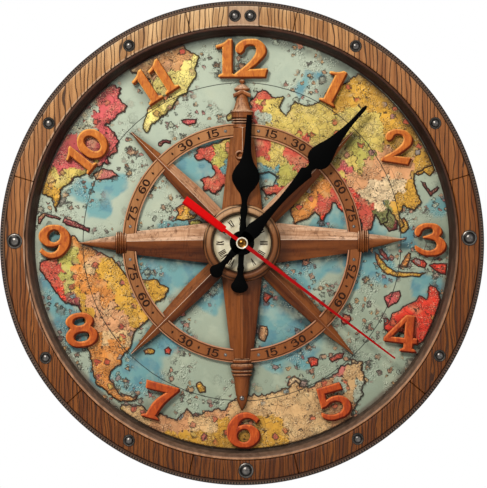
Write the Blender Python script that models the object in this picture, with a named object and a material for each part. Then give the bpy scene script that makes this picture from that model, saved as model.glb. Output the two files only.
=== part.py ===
"""Wall clock: a relief map of the world under a carved compass rose, with a quartz movement behind it.

Sizes are in metres. The dial faces -Y, +Z is up, the wall is the plane Y = 0 and the hands turn on the Y axis.
A depth is a distance in front of the wall, so depth d lies at Y = -d. Clock angles run clockwise from 12.
"""

import math

import bmesh
import bpy
from mathutils import Matrix, Vector

for thing in list(bpy.data.objects):
    bpy.data.objects.remove(thing)

# Clearances: between seated pieces, between running pieces, and the overrun of every cut
SEAT_GAP = 0.0003
RUN_GAP = 0.0001
CUT_OVERRUN = 0.0010

# Driving dimensions of the case: each ring's width counts inwards from the one outside it
CLOCK_RADIUS = 0.150
HOOP_WALL = 0.0028
HOOP_SETBACK = 0.0008
STAVE_WIDTH = 0.0123
STAVE_ROUNDING = 0.0010
STAVE_JOINT_GAP = 0.0003
MOULDING_RIDGE_WIDTH = 0.0019
MOULDING_SLOPE_WIDTH = 0.0034
MOULDING_DROP = 0.0010
BOARD_OVERLAP = 0.0020
BOARD_THICKNESS = 0.0040
BACK_RING_WIDTH = 0.0349
BACK_RING_DEPTH = 0.0162
RIM_FRONT_DEPTH = 0.0312

# Radii that follow, from the outside inwards
STAVE_OUTER_RADIUS = CLOCK_RADIUS - HOOP_WALL - SEAT_GAP
STAVE_INNER_RADIUS = STAVE_OUTER_RADIUS - STAVE_WIDTH
RIVET_CIRCLE_RADIUS = (STAVE_INNER_RADIUS + STAVE_OUTER_RADIUS) / 2
BACK_RING_INNER_RADIUS = STAVE_OUTER_RADIUS - BACK_RING_WIDTH
HANGER_CENTRE_RADIUS = (BACK_RING_INNER_RADIUS + STAVE_OUTER_RADIUS) / 2
MOULDING_OUTER_RADIUS = STAVE_INNER_RADIUS - SEAT_GAP
MOULDING_RIDGE_RADIUS = MOULDING_OUTER_RADIUS - MOULDING_RIDGE_WIDTH
DIAL_RADIUS = MOULDING_RIDGE_RADIUS - MOULDING_SLOPE_WIDTH
BOARD_RADIUS = DIAL_RADIUS + BOARD_OVERLAP

# Rivets of the rim, as clock angles, and the joints between the staves
RIVET_ANGLES = (2.1, 30.0, 58.2, 88.7, 119.7, 149.4, 179.0, 209.8, 239.7, 270.5, 301.8, 330.2, 358.2)
WASHERED_RIVETS = (3, 6, 9)
RIVET_RADIUS = 0.0031
RIVET_HEIGHT = 0.0022
RIVET_FLANGE_RADIUS = 0.0038
RIVET_FLANGE_HEIGHT = 0.0006
RIVET_WASHER_RADIUS = 0.0052
STAVE_JOINT_ANGLES = (13.5, 73.3, 129.5, 166.2, 192.9, 227.5, 286.4, 346.3)

# Relief on the dial, laid out in shares of its radius
LAND_THICKNESS = 0.0012
NUMERAL_HEIGHT_SHARE = 0.1705
NUMERAL_HEIGHT = NUMERAL_HEIGHT_SHARE * DIAL_RADIUS
NUMERAL_THICKNESS = 0.0040
NUMERAL_ROUNDING = 0.0007
WEB_THICKNESS = 0.0012
COMPASS_RING_SHARE = 0.5775
COMPASS_RING_OUTER_RADIUS = COMPASS_RING_SHARE * DIAL_RADIUS
COMPASS_RING_WIDTH = 0.0085
COMPASS_RING_INNER_RADIUS = COMPASS_RING_OUTER_RADIUS - COMPASS_RING_WIDTH
COMPASS_RING_THICKNESS = 0.0022
HUB_RING_SHARE = 0.1860
HUB_RING_OUTER_RADIUS = HUB_RING_SHARE * DIAL_RADIUS
HUB_RING_WIDTH = 0.0057
HUB_RING_INNER_RADIUS = HUB_RING_OUTER_RADIUS - HUB_RING_WIDTH
HUB_RING_HEIGHT = 0.0066
HUB_DIAL_THICKNESS = 0.0018

# The rose's arms and points
ARM_ROOT_SHARE = 0.54
ARM_ROOT_HALF_WIDTH = ARM_ROOT_SHARE * HUB_RING_OUTER_RADIUS
ARM_END_HALF_WIDTH = 0.0066
ARM_ROOT_HEIGHT = 0.0074
ARM_END_HEIGHT = 0.0058
ARM_EDGE_HEIGHT = 0.0014
ARM_END_INSET = 0.0029
ARM_END_RADIUS = COMPASS_RING_OUTER_RADIUS - ARM_END_INSET
ARM_RIDGE_OFFSET = 0.0021
EAST_TIP_LIFT = 0.0026
COLLAR_LIFT_SHARE = 0.40
ROUND_HEIGHT_SHARE = 0.85
COLLAR_HALF_WIDTH = 0.0074
COLLAR_LENGTH = 0.0066
CONE_HALF_WIDTH = 0.0046
CONE_TIP_SHARE = 0.7845
CONE_TIP_RADIUS = CONE_TIP_SHARE * DIAL_RADIUS
SOUTH_CONE_TIP_SHARE = 0.8062
SOUTH_CONE_TIP_RADIUS = SOUTH_CONE_TIP_SHARE * DIAL_RADIUS
NORTH_BALL_RADIUS = 0.0017
NORTH_CAP_HALF_WIDTH = 0.0049
NORTH_TIP_GAP = 0.0005
TIP_HALF_WIDTH = 0.0004
POINT_ROOT_HALF_WIDTH = 0.0056
POINT_BELLY_HALF_WIDTH = 0.0058
POINT_BELLY_SHARE = 0.35
POINT_BELLY_RADIUS = POINT_BELLY_SHARE * DIAL_RADIUS
POINT_NECK_HALF_WIDTH = 0.0037
POINT_ROOT_HEIGHT = 0.0062
POINT_EDGE_HEIGHT = 0.0008
POINT_TIP_SHARE = 0.7558
POINT_TIP_RADIUS = POINT_TIP_SHARE * DIAL_RADIUS

# Hands, their lengths in shares of the dial's radius
HOUR_LENGTH_SHARE = 0.6163
HOUR_LENGTH = HOUR_LENGTH_SHARE * DIAL_RADIUS
HOUR_SPADE_HALF_WIDTH = 0.0086
HOUR_TAIL_LENGTH = 0.0326
MINUTE_LENGTH_SHARE = 0.8876
MINUTE_LENGTH = MINUTE_LENGTH_SHARE * DIAL_RADIUS
MINUTE_SPADE_HALF_WIDTH = 0.0075
MINUTE_TAIL_LENGTH = 0.0280
SECOND_LENGTH_SHARE = 0.9186
SECOND_LENGTH = SECOND_LENGTH_SHARE * DIAL_RADIUS
SECOND_BAR_HALF_WIDTH = 0.0026
SECOND_TAIL_LENGTH = 0.0445
HAND_THICKNESS = 0.0009
SECOND_HAND_THICKNESS = 0.0006
HAND_HUB_RADIUS = 0.0076
HAND_SPACING = 0.0009
COLLET_WALL = 0.0012
CAP_RADIUS = 0.0037
CAP_HEIGHT = 0.0022
HOUR_REST_ANGLE = 3.3
MINUTE_REST_ANGLE = 42.3
SECOND_REST_ANGLE = 127.0

# Movement case, which the battery's length and width set
BATTERY_RADIUS = 0.00715
BATTERY_LENGTH = 0.0505
BATTERY_NUB_RADIUS = 0.00275
BATTERY_NUB_LENGTH = 0.0010
BATTERY_END_ROOM = 0.00275
BATTERY_SIDE_ROOM = 0.0011
CASE_HALF_SIDE = BATTERY_LENGTH / 2 + BATTERY_END_ROOM
CASE_WALL = 0.0013
REAR_PLATE = 0.0015
FRONT_PLATE = 0.0012
BAY_WALL_THICKNESS = 0.0010
BAY_HEIGHT = 2 * BATTERY_RADIUS + BATTERY_SIDE_ROOM
BAY_WALL_HEIGHT = CASE_WALL - CASE_HALF_SIDE + BAY_HEIGHT + BAY_WALL_THICKNESS
BUSH_RADIUS = 0.0039
BUSH_BORE_RADIUS = 0.00245
NUT_RADIUS = 0.0072
NUT_THICKNESS = 0.0025
KNOB_RADIUS = 0.0050
KNOB_THICKNESS = 0.0022
KNOB_WELL_WALL = 0.0009
KNOB_RIBS = 12

# Shafts
SECOND_ARBOR_RADIUS = 0.00045
CENTRE_PIPE_WALL = 0.0004
MINUTE_TUBE_WALL = 0.0004
HOUR_PIPE_WALL = 0.00085
STUD_RADIUS = 0.00035
MOTION_SHAFT_RADIUS = 0.0010

# Gear train: tooth counts and modules
ROTOR_TEETH, STEP_WHEEL_TEETH = 6, 30
STEP_PINION_TEETH, SECOND_WHEEL_TEETH = 6, 36
SECOND_PINION_TEETH, THIRD_WHEEL_TEETH = 6, 45
THIRD_PINION_TEETH, CENTRE_WHEEL_TEETH = 6, 48
CANNON_TEETH, MOTION_WHEEL_TEETH = 8, 24
MOTION_PINION_TEETH, HOUR_WHEEL_TEETH = 8, 32
TRAIN_MODULE = 0.00040
MOTION_CENTRE_DISTANCE = 0.0110
WHEEL_THICKNESS = 0.0009
WHEEL_SPACING = 0.0010
MOTION_SPACING = 0.0006
ADDENDUM_SHARE = 0.80
DEDENDUM_SHARE = 1.25
TOOTH_TIP_SHARE = 0.07
TOOTH_ROOT_SHARE = 0.28

# Directions, in degrees from +X towards +Z, of the axes round the centre
THIRD_DIRECTION = 135.0
STEP_DIRECTION = 78.0
ROTOR_DIRECTION = 40.0
MOTION_DIRECTION = 20.0

# Rotor, stator and coil
MAGNET_RADIUS = 0.0030
MAGNET_LENGTH = 0.0026
STATOR_THICKNESS = 0.0010
STATOR_GAP = 0.0004
COIL_LENGTH = 0.0200
COIL_RADIUS = 0.0032
COIL_FLANGE_RADIUS = 0.0039
COIL_FLANGE_THICKNESS = 0.0008
COIL_HEIGHT = 0.0215
CORE_WIDTH = 0.0030
CORE_OVERHANG = 0.0035

# Circuit board
CIRCUIT_THICKNESS = 0.0010
CIRCUIT_TOP = -0.0034
CHIP_SIDE = 0.0040
CHIP_HEIGHT = 0.0008
CRYSTAL_RADIUS = 0.0009
CRYSTAL_LENGTH = 0.0060
CONTACT_THICKNESS = 0.0003
CONTACT_BUMP_RADIUS = 0.0020

# Wall hanger
HANGER_HALF_WIDTH = 0.0180
HANGER_HALF_HEIGHT = 0.0070
HANGER_THICKNESS = 0.0012
KEYHOLE_RADIUS = 0.0042
KEYHOLE_SLOT_HALF_WIDTH = 0.0024
KEYHOLE_SLOT_LENGTH = 0.0055
NAIL_ROOM_HALF_WIDTH = 0.0090
NAIL_ROOM_HALF_HEIGHT = 0.0060
NAIL_ROOM_DEPTH = 0.0065

# Facets
RIM_SEGMENTS = 88
BOARD_SEGMENTS = 64
HUB_SEGMENTS = 40
SHAFT_SEGMENTS = 16
HAND_STEPS = 3
DIGIT_STEPS = 2

# Depths that follow, from the wall to the hands
BOARD_BACK = BACK_RING_DEPTH + SEAT_GAP
BOARD_FRONT = BOARD_BACK + BOARD_THICKNESS
LAND_BACK = BOARD_FRONT + SEAT_GAP
LAND_FRONT = LAND_BACK + LAND_THICKNESS
RELIEF = LAND_FRONT + SEAT_GAP
HUB_DIAL_FRONT = RELIEF + HUB_DIAL_THICKNESS
ARM_FRONT = RELIEF + ARM_ROOT_HEIGHT
HOUR_BACK = ARM_FRONT + HAND_SPACING
HOUR_FRONT = HOUR_BACK + HAND_THICKNESS
MINUTE_BACK = HOUR_FRONT + HAND_SPACING
MINUTE_FRONT = MINUTE_BACK + HAND_THICKNESS
SECOND_BACK = MINUTE_FRONT + HAND_SPACING
SECOND_FRONT = SECOND_BACK + SECOND_HAND_THICKNESS
CASE_DEPTH = BACK_RING_DEPTH

# Radii that follow, from the second arbor outwards
CENTRE_BORE = SECOND_ARBOR_RADIUS + RUN_GAP
CENTRE_PIPE_RADIUS = CENTRE_BORE + CENTRE_PIPE_WALL
MINUTE_BORE = CENTRE_PIPE_RADIUS + RUN_GAP
MINUTE_TUBE_RADIUS = MINUTE_BORE + MINUTE_TUBE_WALL
HOUR_BORE = MINUTE_TUBE_RADIUS + RUN_GAP
HOUR_PIPE_RADIUS = BUSH_BORE_RADIUS - RUN_GAP
STUD_BORE = STUD_RADIUS + RUN_GAP


def finish_material(name, colour, roughness, metallic=0.0):
    """A Principled material of one colour."""
    material = bpy.data.materials.new(name)
    material.use_nodes = True
    shader = material.node_tree.nodes["Principled BSDF"]
    shader.inputs["Base Color"].default_value = (*colour, 1.0)
    shader.inputs["Roughness"].default_value = roughness
    shader.inputs["Metallic"].default_value = metallic
    material.diffuse_color = (*colour, 1.0)
    return material


RIM_WOOD = finish_material("rim_wood", (0.30, 0.14, 0.06), 0.5)
CARVED_WOOD = finish_material("carved_wood", (0.38, 0.17, 0.08), 0.45)
RING_WOOD = finish_material("ring_wood", (0.42, 0.20, 0.09), 0.5)
BACK_WOOD = finish_material("back_wood", (0.25, 0.16, 0.09), 0.7)
DARK_IRON = finish_material("dark_iron", (0.05, 0.045, 0.04), 0.4, 0.9)
SEA_PAINT = finish_material("sea_paint", (0.46, 0.56, 0.45), 0.7)
LAND_YELLOW = finish_material("land_yellow", (0.78, 0.52, 0.12), 0.7)
LAND_CREAM = finish_material("land_cream", (0.74, 0.50, 0.24), 0.7)
LAND_ORANGE = finish_material("land_orange", (0.75, 0.34, 0.08), 0.7)
LAND_RED = finish_material("land_red", (0.65, 0.08, 0.05), 0.7)
NUMERAL_PAINT = finish_material("numeral_paint", (0.72, 0.20, 0.05), 0.4)
DIAL_CREAM = finish_material("dial_cream", (0.72, 0.68, 0.55), 0.6)
HAND_BLACK = finish_material("hand_black", (0.005, 0.005, 0.005), 0.35)
HAND_RED = finish_material("hand_red", (0.45, 0.0, 0.0), 0.35)
CASE_PLASTIC = finish_material("case_plastic", (0.02, 0.02, 0.02), 0.5)
GEAR_PLASTIC = finish_material("gear_plastic", (0.75, 0.74, 0.68), 0.4)
BRASS = finish_material("brass", (0.60, 0.42, 0.15), 0.3, 1.0)
STEEL = finish_material("steel", (0.45, 0.46, 0.48), 0.3, 1.0)
MAGNET_GREY = finish_material("magnet_grey", (0.12, 0.12, 0.13), 0.4, 0.6)
COPPER = finish_material("copper", (0.60, 0.22, 0.10), 0.35, 1.0)
BOARD_GREEN = finish_material("board_green", (0.02, 0.18, 0.07), 0.5)
BATTERY_WRAP = finish_material("battery_wrap", (0.55, 0.30, 0.08), 0.4)


def add_object(name, bm, material, smooth_angle=40.0):
    """Turns a bmesh into a linked object with its faces pointing out and its round faces smooth."""
    bmesh.ops.recalc_face_normals(bm, faces=bm.faces)
    mesh = bpy.data.meshes.new(name)
    bm.to_mesh(mesh)
    bm.free()
    mesh.shade_smooth()
    mesh.set_sharp_from_angle(angle=math.radians(smooth_angle))
    made = bpy.data.objects.new(name, mesh)
    made.data.materials.append(material)
    bpy.context.scene.collection.objects.link(made)
    return made


def evaluated_mesh(made):
    """The object's mesh with its modifiers, as a new mesh."""
    bpy.context.view_layer.update()
    graph = bpy.context.evaluated_depsgraph_get()
    return bpy.data.meshes.new_from_object(made.evaluated_get(graph))


def combine(target, tool, operation="UNION"):
    """Adds, cuts or intersects the target with the tool, and removes the tool."""
    modifier = target.modifiers.new("combine", "BOOLEAN")
    modifier.operation = operation
    modifier.object = tool
    mesh = evaluated_mesh(target)
    target.modifiers.clear()
    target.data = mesh
    bpy.data.objects.remove(tool)
    mesh.shade_smooth()
    mesh.set_sharp_from_angle(angle=math.radians(40.0))
    return target


def turned(name, profile, material, segments=HUB_SEGMENTS, axis_at=(0.0, 0.0)):
    """A piece turned round an axis along Y, from a closed outline of (radius, depth) points.

    Points of radius 0 lie on the axis, so such an outline makes a solid with no bore.
    """
    bm = bmesh.new()
    points = [bm.verts.new((radius, -depth, 0)) for radius, depth in profile]
    edges = []
    for first, second in zip(points, points[1:] + points[:1]):
        if first.co.x > 0 or second.co.x > 0:
            edges.append(bm.edges.new((first, second)))
    bmesh.ops.spin(
        bm, geom=points + edges, axis=(0, 1, 0), cent=(0, 0, 0),
        steps=segments, angle=math.tau, use_merge=True,
    )
    bmesh.ops.remove_doubles(bm, verts=bm.verts, dist=RUN_GAP / 20)
    made = add_object(name, bm, material)
    made.location = (axis_at[0], 0, axis_at[1])
    return made


def cylinder(name, radius, back, front, material, segments=SHAFT_SEGMENTS, axis_at=(0.0, 0.0)):
    return turned(name, ((0, back), (radius, back), (radius, front), (0, front)), material, segments, axis_at)


def tube(name, bore, radius, back, front, material, segments=SHAFT_SEGMENTS, axis_at=(0.0, 0.0)):
    outline = ((bore, back), (radius, back), (radius, front), (bore, front))
    return turned(name, outline, material, segments, axis_at)


def block(name, x_range, z_range, depth_range, material):
    """A plain box between two values on each axis."""
    bm = bmesh.new()
    bmesh.ops.create_cube(bm, size=1)
    size = (x_range[1] - x_range[0], depth_range[1] - depth_range[0], z_range[1] - z_range[0])
    middle = (sum(x_range) / 2, -sum(depth_range) / 2, sum(z_range) / 2)
    bmesh.ops.scale(bm, vec=size, verts=bm.verts)
    bmesh.ops.translate(bm, vec=middle, verts=bm.verts)
    return add_object(name, bm, material)


def plate(name, outline, back, front, material, axis_at=(0.0, 0.0)):
    """A flat plate cut to an outline of (x, z) points, between two depths."""
    bm = bmesh.new()
    face = bm.faces.new([bm.verts.new((x, -back, z)) for x, z in outline])
    raised = bmesh.ops.extrude_face_region(bm, geom=[face])
    moved = [item for item in raised["geom"] if isinstance(item, bmesh.types.BMVert)]
    bmesh.ops.translate(bm, vec=(0, back - front, 0), verts=moved)
    made = add_object(name, bm, material)
    made.location = (axis_at[0], 0, axis_at[1])
    return made


def clock_point(angle, radius):
    """(x, z) at a clock angle and a radius."""
    turn = math.radians(angle)
    return radius * math.sin(turn), radius * math.cos(turn)


def curved_plate(name, outlines, thickness, material, steps, rounding=0.0):
    """A flat piece with curved edges, lying in its own XZ plane with its back at Y = 0.

    Each outline is a closed list of (x, z, kind): kind "s" is a smooth point and "c" a corner.
    An outline inside another is a hole.
    """
    curve = bpy.data.curves.new(name, "CURVE")
    curve.dimensions = "2D"
    curve.fill_mode = "BOTH"
    curve.extrude = thickness / 2
    curve.resolution_u = steps
    for outline in outlines:
        spline = curve.splines.new("BEZIER")
        spline.bezier_points.add(len(outline) - 1)
        spline.use_cyclic_u = True
        for knot, (x, z, kind) in zip(spline.bezier_points, outline):
            knot.co = (x, z, 0)
            handle = "AUTO" if kind == "s" else "VECTOR"
            knot.handle_left_type = handle
            knot.handle_right_type = handle
    drawn = bpy.data.objects.new(name + "_curve", curve)
    bpy.context.scene.collection.objects.link(drawn)
    bm = bmesh.new()
    bm.from_mesh(evaluated_mesh(drawn))
    bpy.data.objects.remove(drawn)
    bmesh.ops.remove_doubles(bm, verts=bm.verts, dist=RUN_GAP / 20)
    bmesh.ops.dissolve_limit(bm, angle_limit=math.radians(1.0), verts=bm.verts, edges=bm.edges)
    bmesh.ops.rotate(bm, matrix=Matrix.Rotation(math.radians(90), 3, "X"), verts=bm.verts)
    bmesh.ops.translate(bm, vec=(0, -thickness / 2, 0), verts=bm.verts)
    if rounding > 0:
        fronts = [edge for edge in bm.edges if is_front_rim(edge, thickness)]
        bmesh.ops.bevel(
            bm, geom=fronts, offset=rounding, segments=1, profile=0.5,
            affect="EDGES", clamp_overlap=True, material=-1,
        )
    return add_object(name, bm, material)


def is_front_rim(edge, thickness):
    """True for an edge between the front face and a side."""
    in_front = all(vert.co.y < RUN_GAP - thickness for vert in edge.verts)
    return in_front and any(abs(face.normal.y) < 0.5 for face in edge.link_faces)


def lofted(name, sections, material):
    """A closed solid through a row of outlines, each with the same number of points."""
    bm = bmesh.new()
    loops = [[bm.verts.new(point) for point in section] for section in sections]
    for near, far in zip(loops, loops[1:]):
        sides = zip(near, near[1:] + near[:1], far[1:] + far[:1], far)
        for side in sides:
            bm.faces.new(side)
    bm.faces.new(loops[0])
    bm.faces.new(loops[-1])
    return add_object(name, bm, material, 20.0)


def make_case_rim():
    """The structural ring, the metal hoop, the eight staves with their rivets, and the inner moulding."""
    ring = tube(
        "back_ring", BACK_RING_INNER_RADIUS, STAVE_OUTER_RADIUS, 0, BACK_RING_DEPTH, BACK_WOOD, RIM_SEGMENTS
    )
    cut_hanger_recess(ring)
    hoop_front = RIM_FRONT_DEPTH - HOOP_SETBACK
    tube(
        "outer_hoop", CLOCK_RADIUS - HOOP_WALL, CLOCK_RADIUS, HOOP_SETBACK, hoop_front, DARK_IRON, RIM_SEGMENTS
    )
    rebate = BOARD_RADIUS + SEAT_GAP
    ridge = RIM_FRONT_DEPTH - MOULDING_DROP
    turned("inner_moulding", (
        (MOULDING_OUTER_RADIUS, BOARD_BACK), (MOULDING_OUTER_RADIUS, ridge), (MOULDING_RIDGE_RADIUS, ridge),
        (DIAL_RADIUS, LAND_BACK), (rebate, LAND_BACK), (rebate, BOARD_BACK),
    ), CARVED_WOOD, RIM_SEGMENTS)
    ends = STAVE_JOINT_ANGLES[1:] + (STAVE_JOINT_ANGLES[0] + 360.0,)
    for number, (start, end) in enumerate(zip(STAVE_JOINT_ANGLES, ends), 1):
        make_stave(number, start, end)


def make_stave(number, start, end):
    """One stave between two joints, with the rivets that fall on it."""
    trim = math.degrees(STAVE_JOINT_GAP / 2 / STAVE_INNER_RADIUS)
    first, last = start + trim, end - trim
    shoulder = RIM_FRONT_DEPTH - STAVE_ROUNDING
    profile = (
        (STAVE_INNER_RADIUS, BOARD_BACK), (STAVE_OUTER_RADIUS, BOARD_BACK), (STAVE_OUTER_RADIUS, shoulder),
        (STAVE_OUTER_RADIUS - STAVE_ROUNDING, RIM_FRONT_DEPTH),
        (STAVE_INNER_RADIUS + STAVE_ROUNDING, RIM_FRONT_DEPTH), (STAVE_INNER_RADIUS, shoulder),
    )
    steps = math.ceil((last - first) * RIM_SEGMENTS / 360)
    sections = []
    for step in range(steps + 1):
        angle = first + (last - first) * step / steps
        ring = [(*clock_point(angle, radius), depth) for radius, depth in profile]
        sections.append([(x, -depth, z) for x, z, depth in ring])
    stave = lofted(f"rim_stave_{number}", sections, RIM_WOOD)
    for rank, angle in enumerate(RIVET_ANGLES):
        if start < angle < end or start < angle + 360 < end:
            combine(stave, make_rivet(angle, rank in WASHERED_RIVETS))


def make_rivet(angle, washered):
    """A domed rivet head with its flange, sunk a little into the wood."""
    sunk = RIM_FRONT_DEPTH - CUT_OVERRUN
    flange = RIVET_WASHER_RADIUS if washered else RIVET_FLANGE_RADIUS
    brim = RIM_FRONT_DEPTH + RIVET_FLANGE_HEIGHT
    profile = [(0, sunk), (flange, sunk), (flange, brim), (RIVET_RADIUS, brim)]
    for turn in (35, 65):
        across = RIVET_RADIUS * math.cos(math.radians(turn))
        profile.append((across, brim + (RIVET_HEIGHT - RIVET_FLANGE_HEIGHT) * math.sin(math.radians(turn))))
    profile.append((0, RIM_FRONT_DEPTH + RIVET_HEIGHT))
    return turned("rivet", profile, DARK_IRON, 10, clock_point(angle, RIVET_CIRCLE_RADIUS))


def cut_hanger_recess(ring):
    """A shallow seat for the hanger plate in the back of the ring, and a deeper room for the nail's head."""
    width = HANGER_HALF_WIDTH + SEAT_GAP
    height = HANGER_HALF_HEIGHT + SEAT_GAP
    seat = HANGER_THICKNESS + 2 * SEAT_GAP
    middle = HANGER_CENTRE_RADIUS
    for half_x, half_z, depth in (
        (width, height, seat), (NAIL_ROOM_HALF_WIDTH, NAIL_ROOM_HALF_HEIGHT, seat + NAIL_ROOM_DEPTH)
    ):
        z_range = (middle - half_z, middle + half_z)
        combine(ring, block("recess", (-half_x, half_x), z_range, (-CUT_OVERRUN, depth), BACK_WOOD), "DIFFERENCE")


def make_hanger():
    """The keyhole plate that hangs on a nail."""
    middle = HANGER_CENTRE_RADIUS
    made = block(
        "wall_hanger", (-HANGER_HALF_WIDTH, HANGER_HALF_WIDTH),
        (middle - HANGER_HALF_HEIGHT, middle + HANGER_HALF_HEIGHT),
        (SEAT_GAP, SEAT_GAP + HANGER_THICKNESS), STEEL,
    )
    low = middle - KEYHOLE_SLOT_LENGTH / 2
    through = (-CUT_OVERRUN, HANGER_THICKNESS + CUT_OVERRUN)
    combine(made, cylinder("keyhole", KEYHOLE_RADIUS, *through, STEEL, SHAFT_SEGMENTS, (0, low)), "DIFFERENCE")
    slot = block(
        "slot", (-KEYHOLE_SLOT_HALF_WIDTH, KEYHOLE_SLOT_HALF_WIDTH), (low, low + KEYHOLE_RADIUS + KEYHOLE_SLOT_LENGTH / 2),
        through, STEEL,
    )
    combine(made, slot, "DIFFERENCE")


def make_board():
    """The dial board with the raised seat of the hub at its centre."""
    hole = BUSH_RADIUS + 2 * SEAT_GAP
    turned("dial_board", (
        (hole, BOARD_BACK), (BOARD_RADIUS, BOARD_BACK), (BOARD_RADIUS, BOARD_FRONT),
        (HUB_RING_OUTER_RADIUS, BOARD_FRONT), (HUB_RING_OUTER_RADIUS, LAND_FRONT), (hole, LAND_FRONT),
    ), SEA_PAINT, BOARD_SEGMENTS)


# Coasts, drawn freely as (x, z) points in shares of the dial's radius. Points beyond the dial are trimmed
NORTH_AMERICA_SHARES = (
    (-0.762, 0.777), (-0.668, 0.747), (-0.617, 0.768), (-0.580, 0.747), (-0.595, 0.698), (-0.550, 0.658),
    (-0.556, 0.632), (-0.590, 0.626), (-0.619, 0.595), (-0.655, 0.568), (-0.614, 0.541), (-0.592, 0.492),
    (-0.611, 0.440), (-0.647, 0.411), (-0.634, 0.389), (-0.702, 0.364), (-0.744, 0.343), (-0.799, 0.318),
    (-0.845, 0.273), (-0.876, 0.249), (-0.881, 0.201), (-0.898, 0.156), (-0.917, 0.176), (-0.920, 0.225),
    (-0.969, 0.237), (-1.054, 0.231), (-1.017, 0.486), (-0.896, 0.680),
)
GREENLAND_SHARES = (
    (-0.556, 0.875), (-0.483, 0.960), (-0.313, 0.984), (-0.243, 0.923), (-0.198, 0.896), (-0.226, 0.848),
    (-0.221, 0.802), (-0.250, 0.763), (-0.262, 0.726), (-0.313, 0.695), (-0.335, 0.650), (-0.386, 0.610),
    (-0.432, 0.571), (-0.456, 0.534), (-0.481, 0.549), (-0.476, 0.595), (-0.447, 0.662), (-0.432, 0.714),
    (-0.447, 0.790), (-0.488, 0.814), (-0.538, 0.820),
)
SOUTH_AMERICA_SHARES = (
    (-0.817, 0.043), (-0.768, 0.000), (-0.704, -0.030), (-0.631, -0.070), (-0.583, -0.119),
    (-0.556, -0.160), (-0.483, -0.170), (-0.408, -0.177), (-0.355, -0.216), (-0.374, -0.269),
    (-0.420, -0.294), (-0.444, -0.367), (-0.483, -0.401), (-0.519, -0.427), (-0.529, -0.495),
    (-0.568, -0.534), (-0.587, -0.585), (-0.629, -0.617), (-0.638, -0.656), (-0.614, -0.695),
    (-0.583, -0.729), (-0.498, -0.741), (-0.532, -0.765), (-0.592, -0.765), (-0.647, -0.731),
    (-0.702, -0.682), (-0.719, -0.631), (-0.726, -0.571), (-0.748, -0.512), (-0.743, -0.449),
    (-0.762, -0.379), (-0.791, -0.306), (-0.857, -0.289), (-0.906, -0.231), (-0.947, -0.170),
    (-0.981, -0.124), (-0.979, -0.097), (-0.930, -0.075), (-0.874, -0.058), (-0.857, -0.002),
)
OLD_WORLD_SHARES = (
    (0.033, 0.595), (0.042, 0.680), (0.066, 0.731), (0.102, 0.747), (0.142, 0.714), (0.209, 0.702),
    (0.180, 0.654), (0.204, 0.617), (0.246, 0.678), (0.309, 0.661), (0.370, 0.674), (0.416, 0.741),
    (0.513, 0.780), (0.555, 0.820), (0.731, 0.802), (0.926, 0.583), (1.011, 0.389), (0.928, 0.377),
    (0.831, 0.328), (0.841, 0.261), (0.868, 0.204), (0.829, 0.152), (0.782, 0.176), (0.763, 0.140),
    (0.787, 0.085), (0.758, 0.063), (0.731, 0.134), (0.712, 0.156), (0.695, 0.095), (0.666, 0.088),
    (0.646, 0.128), (0.625, 0.073), (0.586, 0.043), (0.566, 0.109), (0.530, 0.140), (0.479, 0.158),
    (0.442, 0.194), (0.416, 0.143), (0.385, 0.107), (0.350, 0.148), (0.312, 0.119), (0.252, 0.088),
    (0.234, 0.134), (0.248, 0.194), (0.197, 0.204), (0.155, 0.237), (0.112, 0.228), (0.095, 0.270),
    (0.146, 0.286), (0.173, 0.316), (0.124, 0.345), (0.076, 0.328), (0.033, 0.273), (-0.021, 0.241),
    (-0.088, 0.270), (-0.131, 0.237), (-0.192, 0.258), (-0.201, 0.313), (-0.131, 0.328), (-0.153, 0.383),
    (-0.233, 0.411), (-0.209, 0.462), (-0.131, 0.479), (-0.070, 0.504), (0.003, 0.522),
)
AUSTRALIA_SHARES = (
    (0.685, -0.403), (0.727, -0.340), (0.782, -0.303), (0.831, -0.279), (0.853, -0.249), (0.889, -0.267),
    (0.906, -0.192), (0.950, -0.233), (0.965, -0.297), (0.953, -0.367), (0.904, -0.452), (0.843, -0.500),
    (0.804, -0.449), (0.756, -0.427), (0.707, -0.452),
)
ANTARCTICA_SHARES = (
    (-0.592, -0.777), (-0.483, -0.780), (-0.396, -0.826), (-0.323, -0.852), (-0.262, -0.804),
    (-0.213, -0.838), (-0.153, -0.809), (-0.073, -0.792), (-0.043, -0.753), (0.054, -0.731),
    (0.127, -0.731), (0.200, -0.704), (0.248, -0.668), (0.321, -0.695), (0.382, -0.665), (0.442, -0.634),
    (0.479, -0.597), (0.540, -0.583), (0.576, -0.565), (0.593, -0.631), (0.581, -0.729), (0.537, -0.816),
    (0.561, -0.947), (0.355, -1.032), (-0.001, -1.069), (-0.374, -1.020), (-0.580, -0.899),
)
LAND_SHARES = {
    "land_north_america": NORTH_AMERICA_SHARES, "land_greenland": GREENLAND_SHARES,
    "land_south_america": SOUTH_AMERICA_SHARES, "land_old_world": OLD_WORLD_SHARES,
    "land_australia": AUSTRALIA_SHARES, "land_antarctica": ANTARCTICA_SHARES,
}
LAND_MATERIALS = {
    "land_north_america": LAND_YELLOW, "land_greenland": LAND_YELLOW, "land_south_america": LAND_ORANGE,
    "land_old_world": LAND_YELLOW, "land_australia": LAND_RED, "land_antarctica": LAND_CREAM,
}


def make_lands():
    """The raised lands, trimmed inside the moulding."""
    trimmed = DIAL_RADIUS - SEAT_GAP
    for name, coast in LAND_SHARES.items():
        outline = [(x * DIAL_RADIUS, z * DIAL_RADIUS) for x, z in coast]
        land = plate(name, outline, LAND_BACK, LAND_FRONT, LAND_MATERIALS[name])
        if max(math.hypot(x, z) for x, z in outline) > trimmed:
            room = (LAND_BACK - CUT_OVERRUN, LAND_FRONT + CUT_OVERRUN)
            combine(land, cylinder("trim", trimmed, *room, SEA_PAINT, BOARD_SEGMENTS), "INTERSECT")


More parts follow.
